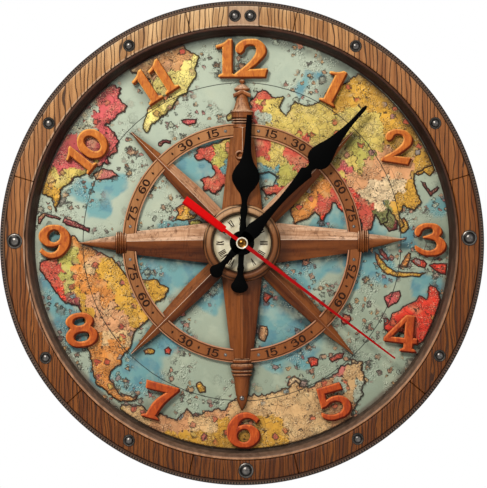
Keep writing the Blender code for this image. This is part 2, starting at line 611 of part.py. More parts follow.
# Digits, in shares of their height. Each is a list of closed outlines of (x, z, kind), the first one the
# outer edge and the others holes; "s" is a smooth point and "c" a corner
ONE_SHARES = ((
    (0.42, 1.00, "c"), (0.42, 0.10, "c"), (0.52, 0.05, "c"), (0.52, 0.00, "c"), (0.07, 0.00, "c"),
    (0.07, 0.05, "c"), (0.17, 0.10, "c"), (0.17, 0.79, "c"), (0.09, 0.77, "s"), (0.00, 0.76, "c"),
    (0.00, 0.83, "c"), (0.20, 0.90, "s"), (0.33, 1.00, "c"),
),)
TWO_SHARES = ((
    (0.00, 0.00, "c"), (0.80, 0.00, "c"), (0.86, 0.23, "c"), (0.38, 0.20, "c"), (0.64, 0.42, "s"),
    (0.82, 0.70, "s"), (0.70, 0.93, "s"), (0.40, 1.00, "s"), (0.12, 0.91, "s"), (0.02, 0.74, "s"),
    (0.10, 0.62, "s"), (0.22, 0.68, "s"), (0.28, 0.81, "s"), (0.40, 0.85, "s"), (0.53, 0.80, "s"),
    (0.56, 0.68, "s"), (0.44, 0.46, "s"), (0.00, 0.08, "c"),
),)
THREE_SHARES = ((
    (0.02, 0.66, "s"), (0.03, 0.82, "s"), (0.20, 0.96, "s"), (0.46, 1.00, "s"), (0.74, 0.93, "s"),
    (0.84, 0.76, "s"), (0.76, 0.59, "c"), (0.92, 0.46, "s"), (0.96, 0.28, "s"), (0.82, 0.08, "s"),
    (0.52, 0.00, "s"), (0.20, 0.05, "s"), (0.02, 0.21, "s"), (0.02, 0.33, "c"), (0.14, 0.26, "s"),
    (0.34, 0.17, "s"), (0.56, 0.18, "s"), (0.68, 0.30, "s"), (0.64, 0.43, "s"), (0.48, 0.51, "s"),
    (0.28, 0.55, "c"), (0.44, 0.63, "s"), (0.57, 0.73, "s"), (0.52, 0.84, "s"), (0.38, 0.86, "s"),
    (0.24, 0.79, "s"), (0.17, 0.66, "s"), (0.09, 0.60, "s"),
),)
FOUR_SHARES = (
    (
        (0.56, 1.00, "c"), (0.80, 1.00, "c"), (0.80, 0.38, "c"), (0.92, 0.38, "c"), (0.92, 0.24, "c"),
        (0.80, 0.22, "c"), (0.80, 0.10, "c"), (0.90, 0.05, "c"), (0.90, 0.00, "c"), (0.46, 0.00, "c"),
        (0.46, 0.05, "c"), (0.56, 0.10, "c"), (0.56, 0.22, "c"), (0.00, 0.24, "c"), (0.00, 0.34, "c"),
    ),
    ((0.20, 0.37, "c"), (0.56, 0.37, "c"), (0.56, 0.80, "c")),
)
FIVE_SHARES = ((
    (0.10, 1.00, "c"), (0.80, 1.00, "c"), (0.82, 0.79, "c"), (0.30, 0.80, "c"), (0.28, 0.61, "c"),
    (0.50, 0.66, "s"), (0.80, 0.57, "s"), (0.93, 0.33, "s"), (0.80, 0.08, "s"), (0.48, 0.00, "s"),
    (0.16, 0.06, "s"), (0.03, 0.20, "s"), (0.05, 0.31, "c"), (0.22, 0.20, "s"), (0.46, 0.15, "s"),
    (0.65, 0.22, "s"), (0.70, 0.35, "s"), (0.60, 0.48, "s"), (0.42, 0.52, "s"), (0.22, 0.44, "s"),
    (0.08, 0.42, "c"),
),)
SIX_SHARES = (
    (
        (0.92, 0.82, "c"), (0.74, 0.96, "s"), (0.46, 1.00, "s"), (0.15, 0.82, "s"), (0.00, 0.45, "s"),
        (0.12, 0.13, "s"), (0.46, 0.00, "s"), (0.80, 0.10, "s"), (0.94, 0.36, "s"), (0.80, 0.59, "s"),
        (0.54, 0.66, "s"), (0.32, 0.60, "c"), (0.40, 0.77, "s"), (0.56, 0.84, "s"), (0.72, 0.80, "s"),
        (0.84, 0.70, "c"),
    ),
    ((0.48, 0.53, "s"), (0.29, 0.34, "s"), (0.48, 0.15, "s"), (0.67, 0.34, "s")),
)
SEVEN_SHARES = ((
    (0.02, 1.00, "c"), (0.94, 1.00, "c"), (0.94, 0.92, "c"), (0.64, 0.48, "s"), (0.50, 0.10, "c"),
    (0.60, 0.05, "c"), (0.60, 0.00, "c"), (0.12, 0.00, "c"), (0.12, 0.05, "c"), (0.24, 0.10, "c"),
    (0.38, 0.50, "s"), (0.62, 0.79, "c"), (0.05, 0.77, "c"),
),)
EIGHT_SHARES = (
    (
        (0.45, 1.00, "s"), (0.15, 0.92, "s"), (0.05, 0.74, "s"), (0.16, 0.57, "c"), (0.02, 0.42, "s"),
        (0.01, 0.24, "s"), (0.15, 0.06, "s"), (0.46, 0.00, "s"), (0.78, 0.06, "s"), (0.92, 0.24, "s"),
        (0.91, 0.42, "s"), (0.77, 0.57, "c"), (0.86, 0.74, "s"), (0.76, 0.92, "s"),
    ),
    ((0.45, 0.87, "s"), (0.26, 0.75, "s"), (0.45, 0.62, "s"), (0.65, 0.75, "s")),
    ((0.46, 0.44, "s"), (0.23, 0.29, "s"), (0.46, 0.15, "s"), (0.70, 0.29, "s")),
)
ZERO_SHARES = (
    (
        (0.43, 1.00, "s"), (0.10, 0.83, "s"), (0.00, 0.50, "s"), (0.10, 0.17, "s"), (0.43, 0.00, "s"),
        (0.76, 0.17, "s"), (0.86, 0.50, "s"), (0.76, 0.83, "s"),
    ),
    ((0.43, 0.80, "s"), (0.24, 0.50, "s"), (0.43, 0.20, "s"), (0.62, 0.50, "s")),
)
NINE_SHARES = tuple(tuple((0.94 - x, 1.0 - z, kind) for x, z, kind in outline) for outline in SIX_SHARES)
DIGIT_SHARES = {
    "0": ZERO_SHARES, "1": ONE_SHARES, "2": TWO_SHARES, "3": THREE_SHARES, "4": FOUR_SHARES,
    "5": FIVE_SHARES, "6": SIX_SHARES, "7": SEVEN_SHARES, "8": EIGHT_SHARES, "9": NINE_SHARES,
}
DIGIT_WIDTH_SHARES = {
    "0": 0.86, "1": 0.52, "2": 0.86, "3": 0.96, "4": 0.92, "5": 0.93, "6": 0.94, "7": 0.94, "8": 0.92,
    "9": 0.94,
}

# Each numeral's clock angle, its centre's radius as a share of the dial's, its lean in degrees clockwise,
# and its height as a share of the numeral height
NUMERAL_PLACE_SHARES = {
    1: (30.4, 0.873, 27.0, 1.04), 2: (58.3, 0.884, 9.0, 0.96), 3: (89.0, 0.907, 0.0, 0.92),
    4: (119.5, 0.881, 5.0, 1.03), 5: (150.1, 0.885, -17.0, 0.98), 6: (179.5, 0.902, 0.0, 0.99),
    7: (207.8, 0.864, 15.0, 1.03), 8: (241.6, 0.881, -8.0, 0.96), 9: (270.4, 0.902, 0.0, 0.94),
    10: (301.1, 0.867, -51.0, 0.90), 11: (331.4, 0.883, -33.0, 1.00), 12: (0.0, 0.889, 0.0, 1.08),
}
TWELVE_RADIUS_SHARE = NUMERAL_PLACE_SHARES[12][1]
TWELVE_HEIGHT_SHARE = NUMERAL_PLACE_SHARES[12][3]
TWELVE_FOOT = TWELVE_RADIUS_SHARE * DIAL_RADIUS - TWELVE_HEIGHT_SHARE * NUMERAL_HEIGHT / 2
NORTH_TIP_RADIUS = TWELVE_FOOT - NORTH_TIP_GAP
DIGIT_OVERLAP_SHARES = {"10": 0.04, "11": -0.03, "12": 0.03}
WEB_HEIGHT_SHARE = 0.05
WEB_END_SHARES = (0.30, 0.40)

# Where a numeral over the sea has its spacer peg, in shares of its height from its middle
SPACER_RADIUS = 0.0013
SPACER_PLACE_SHARES = {3: (0.32, -0.20), 12: (-0.38, 0.10)}


def make_numerals():
    """Twelve raised numerals, those of two digits joined by a low web at their feet."""
    for number, (angle, radius_share, lean, height_share) in NUMERAL_PLACE_SHARES.items():
        height = NUMERAL_HEIGHT * height_share
        digits = str(number)
        overlap = DIGIT_OVERLAP_SHARES.get(digits, 0) * height
        width = sum(DIGIT_WIDTH_SHARES[digit] for digit in digits) * height - overlap
        left = -width / 2
        made = digit_piece(digits[0], left, height)
        if len(digits) > 1:
            start = left + WEB_END_SHARES[0] * height
            left += DIGIT_WIDTH_SHARES[digits[0]] * height - overlap
            end = left + WEB_END_SHARES[1] * height
            foot = SEAT_GAP - height / 2
            z_range = (foot, foot + WEB_HEIGHT_SHARE * height)
            web = block("web", (start, end), z_range, (SEAT_GAP, WEB_THICKNESS), NUMERAL_PAINT)
            combine(web, made)
            made = combine(web, digit_piece(digits[1], left, height))
        if number in SPACER_PLACE_SHARES:
            made = add_spacer(made, *[share * height for share in SPACER_PLACE_SHARES[number]])
        made.name = f"numeral_{number}"
        x, z = clock_point(angle, radius_share * DIAL_RADIUS)
        made.location = (x, -RELIEF, z)
        made.rotation_euler = (0, math.radians(lean), 0)


def add_spacer(numeral, x, z):
    """The numeral with a peg behind it that seats it on the sea."""
    gap = RELIEF - BOARD_FRONT - SEAT_GAP
    peg = cylinder("peg", SPACER_RADIUS, -gap, NUMERAL_THICKNESS / 2, NUMERAL_PAINT, SHAFT_SEGMENTS, (x, z))
    return combine(numeral, peg)


def digit_piece(digit, left, height):
    """One digit, from its left edge, centred on its height."""
    outlines = [
        [(left + x * height, (z - 0.5) * height, kind) for x, z, kind in outline]
        for outline in DIGIT_SHARES[digit]
    ]
    return curved_plate("digit", outlines, NUMERAL_THICKNESS, NUMERAL_PAINT, DIGIT_STEPS, NUMERAL_ROUNDING)


def arm_section(along, half_width, height, is_round, edge_height=ARM_EDGE_HEIGHT, shift=0.0, ridge_shift=0.0):
    """One outline across an arm that points along +Z: a ridge with thin edges, or half a round."""
    if is_round:
        turns = [math.radians(step * 30) for step in range(7)]
        points = [(-half_width * math.cos(turn), height * math.sin(turn)) for turn in turns]
    else:
        edge = min(edge_height, height / 2)
        middle = (height + edge) / 2
        points = [
            (-half_width, 0), (-half_width, edge), ((ridge_shift - half_width) / 2, middle),
            (ridge_shift, height), ((ridge_shift + half_width) / 2, middle), (half_width, edge), (half_width, 0),
        ]
    return [(across + shift, -RELIEF - rise, along) for across, rise in points]


def collar_stations():
    """(share of the collar's length, share of its half width) of the turned collar's beads."""
    return (
        (0.00, 0.92), (0.13, 0.92), (0.17, 0.84), (0.27, 0.84), (0.31, 1.00), (0.51, 1.00),
        (0.55, 0.88), (0.65, 0.88), (0.69, 0.97), (0.86, 0.97), (1.00, 0.80),
    )


def make_arm(name, angle, end_stations, ridge=0.0, lift=0.0):
    """A cardinal arm: a ridged taper, a turned collar, and the turned end that the stations give.

    The ridge lies to one side by its own amount, and the end leans over by the lift.
    """
    root = HUB_RING_INNER_RADIUS
    edge = ARM_EDGE_HEIGHT
    sections = [
        arm_section(root, ARM_ROOT_HALF_WIDTH, ARM_ROOT_HEIGHT, False, edge, 0.0, ridge),
        arm_section(
            ARM_END_RADIUS, ARM_END_HALF_WIDTH, ARM_END_HEIGHT, False, edge, lift * COLLAR_LIFT_SHARE, ridge / 2
        ),
    ]
    for along_share, half_share in collar_stations():
        half = COLLAR_HALF_WIDTH * half_share
        along = ARM_END_RADIUS + SEAT_GAP + COLLAR_LENGTH * along_share
        shift = lift * COLLAR_LIFT_SHARE
        sections.append(arm_section(along, half, half * ROUND_HEIGHT_SHARE, True, edge, shift))
    for rank, (along, half) in enumerate(end_stations):
        shift = lift * (COLLAR_LIFT_SHARE + (1 - COLLAR_LIFT_SHARE) * rank / (len(end_stations) - 1))
        sections.append(arm_section(along, half, half * ROUND_HEIGHT_SHARE, True, edge, shift))
    arm = lofted(name, sections, CARVED_WOOD)
    fit_to_rose(arm, ARM_ROOT_HEIGHT)
    arm.rotation_euler = (0, math.radians(angle), 0)


def fit_to_rose(piece, height):
    """Cuts the inner end to the hub ring and the underside to the compass ring."""
    reach = (RELIEF - CUT_OVERRUN, RELIEF + height + CUT_OVERRUN)
    hub = cylinder("hub_cut", HUB_RING_OUTER_RADIUS + SEAT_GAP, *reach, CARVED_WOOD, HUB_SEGMENTS)
    combine(piece, hub, "DIFFERENCE")
    ring = tube(
        "ring_cut", COMPASS_RING_INNER_RADIUS - SEAT_GAP, COMPASS_RING_OUTER_RADIUS + SEAT_GAP,
        RELIEF - CUT_OVERRUN, RELIEF + COMPASS_RING_THICKNESS + SEAT_GAP, CARVED_WOOD, BOARD_SEGMENTS,
    )
    combine(piece, ring, "DIFFERENCE")


def make_rose():
    """The compass rose: its degree ring, hub, four arms and four points."""
    collar_end = ARM_END_RADIUS + SEAT_GAP + COLLAR_LENGTH
    cone = ((collar_end + SEAT_GAP, CONE_HALF_WIDTH), (CONE_TIP_RADIUS, TIP_HALF_WIDTH))
    length = SOUTH_CONE_TIP_RADIUS - collar_end
    south = (
        (collar_end + 0.02 * length, COLLAR_HALF_WIDTH * 0.95), (collar_end + 0.20 * length, COLLAR_HALF_WIDTH),
        (collar_end + 0.24 * length, CONE_HALF_WIDTH * 1.1), (SOUTH_CONE_TIP_RADIUS, TIP_HALF_WIDTH),
    )
    length = NORTH_TIP_RADIUS - collar_end
    cap, ball = NORTH_CAP_HALF_WIDTH, NORTH_BALL_RADIUS
    north = (
        (collar_end + 0.10 * length, COLLAR_HALF_WIDTH * 0.86), (collar_end + 0.16 * length, cap),
        (collar_end + 0.50 * length, cap * 0.62), (collar_end + 0.53 * length, cap * 1.55),
        (collar_end + 0.62 * length, cap * 1.30), (collar_end + 0.66 * length, cap * 0.80),
        (collar_end + 0.70 * length, cap), (collar_end + 0.80 * length, cap * 0.66),
        (NORTH_TIP_RADIUS - 1.8 * ball, ball * 0.6), (NORTH_TIP_RADIUS - 1.5 * ball, ball),
        (NORTH_TIP_RADIUS - 0.5 * ball, ball), (NORTH_TIP_RADIUS, ball * 0.4),
    )
    make_arm("arm_north", 0, north)
    make_arm("arm_east", 90, cone, -ARM_RIDGE_OFFSET, -EAST_TIP_LIFT)
    make_arm("arm_south", 180, south)
    make_arm("arm_west", 270, cone, ARM_RIDGE_OFFSET)
    root, tip = (HUB_RING_INNER_RADIUS, POINT_ROOT_HEIGHT), (POINT_TIP_RADIUS, 2 * POINT_EDGE_HEIGHT)

    def height_at(along):
        return root[1] + (tip[1] - root[1]) * (along - root[0]) / (tip[0] - root[0])

    for name, angle in (("point_ne", 45), ("point_se", 135), ("point_sw", 225), ("point_nw", 315)):
        point = lofted(name, [
            arm_section(along, half, height_at(along), False, POINT_EDGE_HEIGHT)
            for along, half in (
                (HUB_RING_INNER_RADIUS, POINT_ROOT_HALF_WIDTH), (POINT_BELLY_RADIUS, POINT_BELLY_HALF_WIDTH),
                (COMPASS_RING_OUTER_RADIUS, POINT_NECK_HALF_WIDTH), (POINT_TIP_RADIUS, TIP_HALF_WIDTH),
            )
        ], CARVED_WOOD)
        fit_to_rose(point, POINT_ROOT_HEIGHT)
        point.rotation_euler = (0, math.radians(angle), 0)
    tube(
        "compass_ring", COMPASS_RING_INNER_RADIUS, COMPASS_RING_OUTER_RADIUS, RELIEF,
        RELIEF + COMPASS_RING_THICKNESS, RING_WOOD, BOARD_SEGMENTS,
    )
    inner, outer, rise = HUB_RING_INNER_RADIUS, HUB_RING_OUTER_RADIUS, HUB_RING_HEIGHT
    wide = outer - inner
    turned("hub_ring", (
        (inner, RELIEF), (inner, RELIEF + 0.75 * rise), (inner + 0.2 * wide, RELIEF + 0.93 * rise),
        (inner + 0.5 * wide, RELIEF + rise), (inner + 0.75 * wide, RELIEF + 0.9 * rise),
        (inner + 0.85 * wide, RELIEF + 0.68 * rise), (outer, RELIEF + 0.6 * rise), (outer, RELIEF),
    ), CARVED_WOOD, HUB_SEGMENTS)
    hole = BUSH_RADIUS + 2 * SEAT_GAP
    tube("hub_dial", hole, inner - SEAT_GAP, RELIEF, HUB_DIAL_FRONT, DIAL_CREAM, HUB_SEGMENTS)


# Hands as half outlines from the tail to the tip. Along the hand, tail points are shares of the tail's
# length, negative, and the others shares of the hand's length; across, all are shares of the spade's half
# width
HOUR_HAND_SHARES = (
    (-0.93, 0.35, "s"), (-0.84, 0.62, "s"), (-0.70, 0.38, "s"), (-0.56, 0.20, "s"), (-0.50, 0.25, "s"),
    (-0.42, 0.20, "c"), (0.115, 0.25, "c"), (0.19, 0.20, "s"), (0.25, 0.27, "s"), (0.31, 0.20, "s"),
    (0.38, 0.35, "s"), (0.44, 0.75, "s"), (0.505, 1.00, "s"), (0.57, 0.86, "s"), (0.63, 0.52, "s"),
    (0.70, 0.32, "s"), (0.78, 0.25, "s"), (0.90, 0.22, "s"), (1.00, 0.18, "c"),
)
MINUTE_HAND_SHARES = (
    (-0.96, 0.28, "s"), (-0.85, 0.56, "s"), (-0.72, 0.38, "s"), (-0.62, 0.24, "s"), (-0.50, 0.22, "c"),
    (0.10, 0.64, "c"), (0.17, 0.40, "s"), (0.24, 0.29, "s"), (0.31, 0.26, "s"), (0.40, 0.34, "s"),
    (0.47, 0.46, "s"), (0.518, 0.58, "c"), (0.532, 0.36, "s"), (0.550, 0.29, "s"), (0.566, 0.42, "c"),
    (0.585, 0.80, "s"), (0.620, 1.00, "s"), (0.66, 0.90, "s"), (0.72, 0.60, "s"), (0.80, 0.34, "s"),
    (0.88, 0.20, "s"), (0.975, 0.17, "c"), (1.00, 0.10, "c"),
)
SECOND_HAND_SHARES = (
    (-1.00, 1.06, "c"), (-0.31, 0.88, "c"), (-0.30, 0.40, "c"), (0.03, 0.46, "c"), (0.50, 0.35, "c"),
    (1.00, 0.20, "c"),
)


def hand_outline(shares, length, tail, half_width):
    """The whole closed outline of a hand that points along +Z."""
    right = [
        (half * half_width, along * (tail if along < 0 else length), kind) for along, half, kind in shares
    ]
    return right + [(-x, z, kind) for x, z, kind in reversed(right)]


def make_hand(name, shares, length, tail, half_width, back, thickness, bore, material, rest_angle):
    """A flat hand with a round hub and a collet behind it, turned to its place."""
    hand = curved_plate(name, [hand_outline(shares, length, tail, half_width)], thickness, material, HAND_STEPS)
    hand.location = (0, -back, 0)
    if name != "second_hand":
        combine(hand, cylinder("hub", HAND_HUB_RADIUS, back, back + thickness, material, HUB_SEGMENTS // 2))
    collet_back = back - HAND_SPACING + SEAT_GAP
    if name == "hour_hand":
        collet_back = HUB_DIAL_FRONT + SEAT_GAP + NUT_THICKNESS + 3 * SEAT_GAP
    if bore:
        combine(hand, cylinder("collet", bore + COLLET_WALL, collet_back, back + thickness, material))
        past = (collet_back - CUT_OVERRUN, back + thickness + CUT_OVERRUN)
        combine(hand, cylinder("bore", bore, *past, material, SHAFT_SEGMENTS * 3 // 2), "DIFFERENCE")
    hand.name = name
    hand.rotation_euler = (0, math.radians(rest_angle), 0)
    return hand


def make_hands():
    make_hand(
        "hour_hand", HOUR_HAND_SHARES, HOUR_LENGTH, HOUR_TAIL_LENGTH, HOUR_SPADE_HALF_WIDTH, HOUR_BACK,
        HAND_THICKNESS, HOUR_PIPE_RADIUS + RUN_GAP, HAND_BLACK, HOUR_REST_ANGLE,
    )
    make_hand(
        "minute_hand", MINUTE_HAND_SHARES, MINUTE_LENGTH, MINUTE_TAIL_LENGTH, MINUTE_SPADE_HALF_WIDTH,
        MINUTE_BACK, HAND_THICKNESS, MINUTE_TUBE_RADIUS + RUN_GAP, HAND_BLACK, MINUTE_REST_ANGLE,
    )
    second = make_hand(
        "second_hand", SECOND_HAND_SHARES, SECOND_LENGTH, SECOND_TAIL_LENGTH, SECOND_BAR_HALF_WIDTH,
        SECOND_BACK, SECOND_HAND_THICKNESS, 0, HAND_RED, SECOND_REST_ANGLE,
    )
    cap_front = SECOND_BACK + CAP_HEIGHT
    cap_back = (SECOND_BACK + SECOND_FRONT) / 2
    cap = turned("cap", (
        (0, cap_back), (CAP_RADIUS, cap_back), (CAP_RADIUS, SECOND_FRONT + SECOND_HAND_THICKNESS),
        (CAP_RADIUS * 0.8, cap_front), (0, cap_front),
    ), BRASS, HUB_SEGMENTS * 3 // 5)
    combine(second, cap)
    tube_back = MINUTE_FRONT + SEAT_GAP
    combine(second, cylinder("tube", 2 * SECOND_ARBOR_RADIUS, tube_back, SECOND_FRONT + SEAT_GAP, HAND_RED))
    bore = cylinder("bore", CENTRE_BORE, tube_back - CUT_OVERRUN, SECOND_FRONT, HAND_RED)
    combine(second, bore, "DIFFERENCE")


def gear_outline(teeth, module, phase):
    """The outline of a gear as (x, z) points, with a tooth's middle at the phase angle, in radians."""
    pitch_radius = module * teeth / 2
    root = pitch_radius - DEDENDUM_SHARE * module
    tip = pitch_radius + ADDENDUM_SHARE * module
    pitch = math.tau / teeth
    outline = []
    for tooth in range(teeth):
        middle = phase + tooth * pitch
        for radius, share in (
            (root, -TOOTH_ROOT_SHARE), (tip, -TOOTH_TIP_SHARE), (tip, TOOTH_TIP_SHARE), (root, TOOTH_ROOT_SHARE)
        ):
            angle = middle + share * pitch
            outline.append((radius * math.cos(angle), radius * math.sin(angle)))
    return outline


def meshing_phase(teeth, direction):
    """The phase that puts a gap at a direction in degrees."""
    return math.radians(direction) + math.pi / teeth


def offset(origin, direction, distance):
    """The (x, z) point at a direction and distance from another."""
    turn = math.radians(direction)
    return origin[0] + distance * math.cos(turn), origin[1] + distance * math.sin(turn)


# Module and centre distance of each meshing pair, and the axes
CENTRE = (0.0, 0.0)
STEP_DISTANCE = TRAIN_MODULE * (STEP_PINION_TEETH + SECOND_WHEEL_TEETH) / 2
ROTOR_DISTANCE = TRAIN_MODULE * (ROTOR_TEETH + STEP_WHEEL_TEETH) / 2
THIRD_DISTANCE = TRAIN_MODULE * (SECOND_PINION_TEETH + THIRD_WHEEL_TEETH) / 2
CENTRE_MODULE = 2 * THIRD_DISTANCE / (THIRD_PINION_TEETH + CENTRE_WHEEL_TEETH)
CANNON_MODULE = 2 * MOTION_CENTRE_DISTANCE / (CANNON_TEETH + MOTION_WHEEL_TEETH)
HOUR_MODULE = 2 * MOTION_CENTRE_DISTANCE / (MOTION_PINION_TEETH + HOUR_WHEEL_TEETH)
THIRD_AXIS = offset(CENTRE, THIRD_DIRECTION, THIRD_DISTANCE)
STEP_AXIS = offset(CENTRE, STEP_DIRECTION, STEP_DISTANCE)
ROTOR_AXIS = offset(STEP_AXIS, ROTOR_DIRECTION, ROTOR_DISTANCE)
MOTION_AXIS = offset(CENTRE, MOTION_DIRECTION, MOTION_CENTRE_DISTANCE)

# Depths of the wheels, from the rear plate forwards
KNOB_WELL_FLOOR = SEAT_GAP + KNOB_THICKNESS + SEAT_GAP
STEP_WHEEL_BACK = KNOB_WELL_FLOOR + KNOB_WELL_WALL + 2 * SEAT_GAP
SECOND_WHEEL_BACK = STEP_WHEEL_BACK + WHEEL_THICKNESS + WHEEL_SPACING
THIRD_WHEEL_BACK = SECOND_WHEEL_BACK + WHEEL_THICKNESS + WHEEL_SPACING
CENTRE_WHEEL_BACK = THIRD_WHEEL_BACK + WHEEL_THICKNESS + WHEEL_SPACING
MOTION_WHEEL_BACK = CENTRE_WHEEL_BACK + WHEEL_THICKNESS + MOTION_SPACING
HOUR_WHEEL_BACK = MOTION_WHEEL_BACK + WHEEL_THICKNESS + WHEEL_SPACING
TOOTH_OVERHANG = 0.0002


def gear(name, teeth, module, phase, back, front, axis_at, material=GEAR_PLASTIC):
    return plate(name, gear_outline(teeth, module, phase), back, front, material, axis_at)


def wheel_end(back):
    return back + WHEEL_THICKNESS


def bored(piece, bore, back, front, axis_at):
    """The piece with a bore along its axis, and with its origin there."""
    through = (back - CUT_OVERRUN, front + CUT_OVERRUN)
    return combine(piece, cylinder("bore", bore, *through, GEAR_PLASTIC, SHAFT_SEGMENTS, axis_at), "DIFFERENCE")


def pinion_span(back):
    """The depths of a pinion whose mate's wheel starts at a depth."""
    return back - TOOTH_OVERHANG, wheel_end(back) + TOOTH_OVERHANG


def make_train():
    """The wheels from the rotor to the centre wheel, all in mesh at rest."""
    rotor_phase = math.radians(ROTOR_DIRECTION + 180)
    step_phase = meshing_phase(STEP_WHEEL_TEETH, ROTOR_DIRECTION)
    step_pinion_phase = math.radians(STEP_DIRECTION + 180)
    second_phase = meshing_phase(SECOND_WHEEL_TEETH, STEP_DIRECTION)
    second_pinion_phase = math.radians(THIRD_DIRECTION)
    third_phase = meshing_phase(THIRD_WHEEL_TEETH, THIRD_DIRECTION + 180)
    third_pinion_phase = math.radians(THIRD_DIRECTION + 180)
    centre_phase = meshing_phase(CENTRE_WHEEL_TEETH, THIRD_DIRECTION)

    pinion_back, pinion_front = pinion_span(STEP_WHEEL_BACK)
    magnet_back = THIRD_WHEEL_BACK - MAGNET_LENGTH / 3
    rotor = gear("rotor", ROTOR_TEETH, TRAIN_MODULE, rotor_phase, pinion_back, magnet_back + SEAT_GAP, ROTOR_AXIS)
    magnet_front = magnet_back + MAGNET_LENGTH
    combine(rotor, cylinder("magnet", MAGNET_RADIUS, magnet_back, magnet_front, MAGNET_GREY, 24, ROTOR_AXIS))
    bored(rotor, STUD_BORE, pinion_back, magnet_front, ROTOR_AXIS)

    step = gear(
        "step_wheel", STEP_WHEEL_TEETH, TRAIN_MODULE, step_phase, STEP_WHEEL_BACK, wheel_end(STEP_WHEEL_BACK),
        STEP_AXIS,
    )
    front = pinion_span(SECOND_WHEEL_BACK)[1]
    pinion = gear("pinion", STEP_PINION_TEETH, TRAIN_MODULE, step_pinion_phase, STEP_WHEEL_BACK, front, STEP_AXIS)
    combine(step, pinion)
    bored(step, STUD_BORE, STEP_WHEEL_BACK, front, STEP_AXIS)

    second = gear(
        "second_wheel", SECOND_WHEEL_TEETH, TRAIN_MODULE, second_phase, SECOND_WHEEL_BACK,
        wheel_end(SECOND_WHEEL_BACK), CENTRE,
    )
    front = pinion_span(THIRD_WHEEL_BACK)[1]
    combine(second, gear(
        "pinion", SECOND_PINION_TEETH, TRAIN_MODULE, second_pinion_phase, SECOND_WHEEL_BACK, front, CENTRE
    ))
    arbor_back = REAR_PLATE + 2 * SEAT_GAP
    arbor_front = SECOND_FRONT - SEAT_GAP
    combine(second, cylinder("arbor", SECOND_ARBOR_RADIUS, arbor_back, arbor_front, STEEL, 12))

    third = gear(
        "third_wheel", THIRD_WHEEL_TEETH, TRAIN_MODULE, third_phase, THIRD_WHEEL_BACK,
        wheel_end(THIRD_WHEEL_BACK), THIRD_AXIS,
    )
    front = pinion_span(CENTRE_WHEEL_BACK)[1]
    combine(third, gear(
        "pinion", THIRD_PINION_TEETH, CENTRE_MODULE, third_pinion_phase, THIRD_WHEEL_BACK, front, THIRD_AXIS
    ))
    bored(third, STUD_BORE, THIRD_WHEEL_BACK, front, THIRD_AXIS)

    centre = gear(
        "centre_wheel", CENTRE_WHEEL_TEETH, CENTRE_MODULE, centre_phase, CENTRE_WHEEL_BACK,
        wheel_end(CENTRE_WHEEL_BACK), CENTRE,
    )
    pipe_front = CASE_DEPTH
    combine(centre, cylinder("pipe", CENTRE_PIPE_RADIUS, CENTRE_WHEEL_BACK, pipe_front, BRASS))
    bored(centre, CENTRE_BORE, CENTRE_WHEEL_BACK, pipe_front, CENTRE)


def make_motion_work():
    """The cannon pinion, the motion wheel with the setting knob, and the hour wheel."""
    cannon_phase = math.radians(MOTION_DIRECTION)
    motion_phase = meshing_phase(MOTION_WHEEL_TEETH, MOTION_DIRECTION + 180)
    motion_pinion_phase = math.radians(MOTION_DIRECTION + 180)
    hour_phase = meshing_phase(HOUR_WHEEL_TEETH, MOTION_DIRECTION)

    cannon_back, cannon_front = pinion_span(MOTION_WHEEL_BACK)
    cannon = gear("cannon_pinion", CANNON_TEETH, CANNON_MODULE, cannon_phase, cannon_back, cannon_front, CENTRE)
    tube_front = MINUTE_FRONT - SEAT_GAP
    combine(cannon, cylinder("minute_tube", MINUTE_TUBE_RADIUS, cannon_back, tube_front, BRASS))
    bored(cannon, MINUTE_BORE, cannon_back, tube_front, CENTRE)

    motion = gear(
        "motion_wheel", MOTION_WHEEL_TEETH, CANNON_MODULE, motion_phase, MOTION_WHEEL_BACK,
        wheel_end(MOTION_WHEEL_BACK), MOTION_AXIS,
    )
    front = pinion_span(HOUR_WHEEL_BACK)[1]
    pinion = gear(
        "pinion", MOTION_PINION_TEETH, HOUR_MODULE, motion_pinion_phase, MOTION_WHEEL_BACK, front, MOTION_AXIS
    )
    combine(motion, pinion)
    shaft = cylinder(
        "shaft", MOTION_SHAFT_RADIUS, SEAT_GAP, wheel_end(MOTION_WHEEL_BACK), GEAR_PLASTIC, SHAFT_SEGMENTS,
        MOTION_AXIS,
    )
    combine(motion, shaft)
    rib = KNOB_RADIUS * 0.93
    outline = []
    for step in range(2 * KNOB_RIBS):
        turn = math.pi * step / KNOB_RIBS
        radius = KNOB_RADIUS if step % 2 else rib
        outline.append((radius * math.cos(turn), radius * math.sin(turn)))
    combine(motion, plate("knob", outline, SEAT_GAP, SEAT_GAP + KNOB_THICKNESS, GEAR_PLASTIC, MOTION_AXIS))
    socket = (MOTION_WHEEL_BACK, front + CUT_OVERRUN)
    bore = cylinder("socket", STUD_BORE, *socket, GEAR_PLASTIC, SHAFT_SEGMENTS, MOTION_AXIS)
    combine(motion, bore, "DIFFERENCE")

    hour = gear(
        "hour_wheel", HOUR_WHEEL_TEETH, HOUR_MODULE, hour_phase, HOUR_WHEEL_BACK, wheel_end(HOUR_WHEEL_BACK),
        CENTRE,
    )
    pipe_front = HOUR_FRONT - SEAT_GAP
    pipe = cylinder("pipe", HOUR_PIPE_RADIUS, HOUR_WHEEL_BACK, pipe_front, GEAR_PLASTIC, SHAFT_SEGMENTS * 3 // 2)
    combine(hour, pipe)
    bored(hour, HOUR_BORE, HOUR_WHEEL_BACK, pipe_front, CENTRE)


def stud(case, axis_at, front):
    """A fixed stud that rises from the rear plate, on which a wheel turns."""
    combine(case, cylinder("stud", STUD_RADIUS, REAR_PLATE / 2, front, CASE_PLASTIC, 12, axis_at))


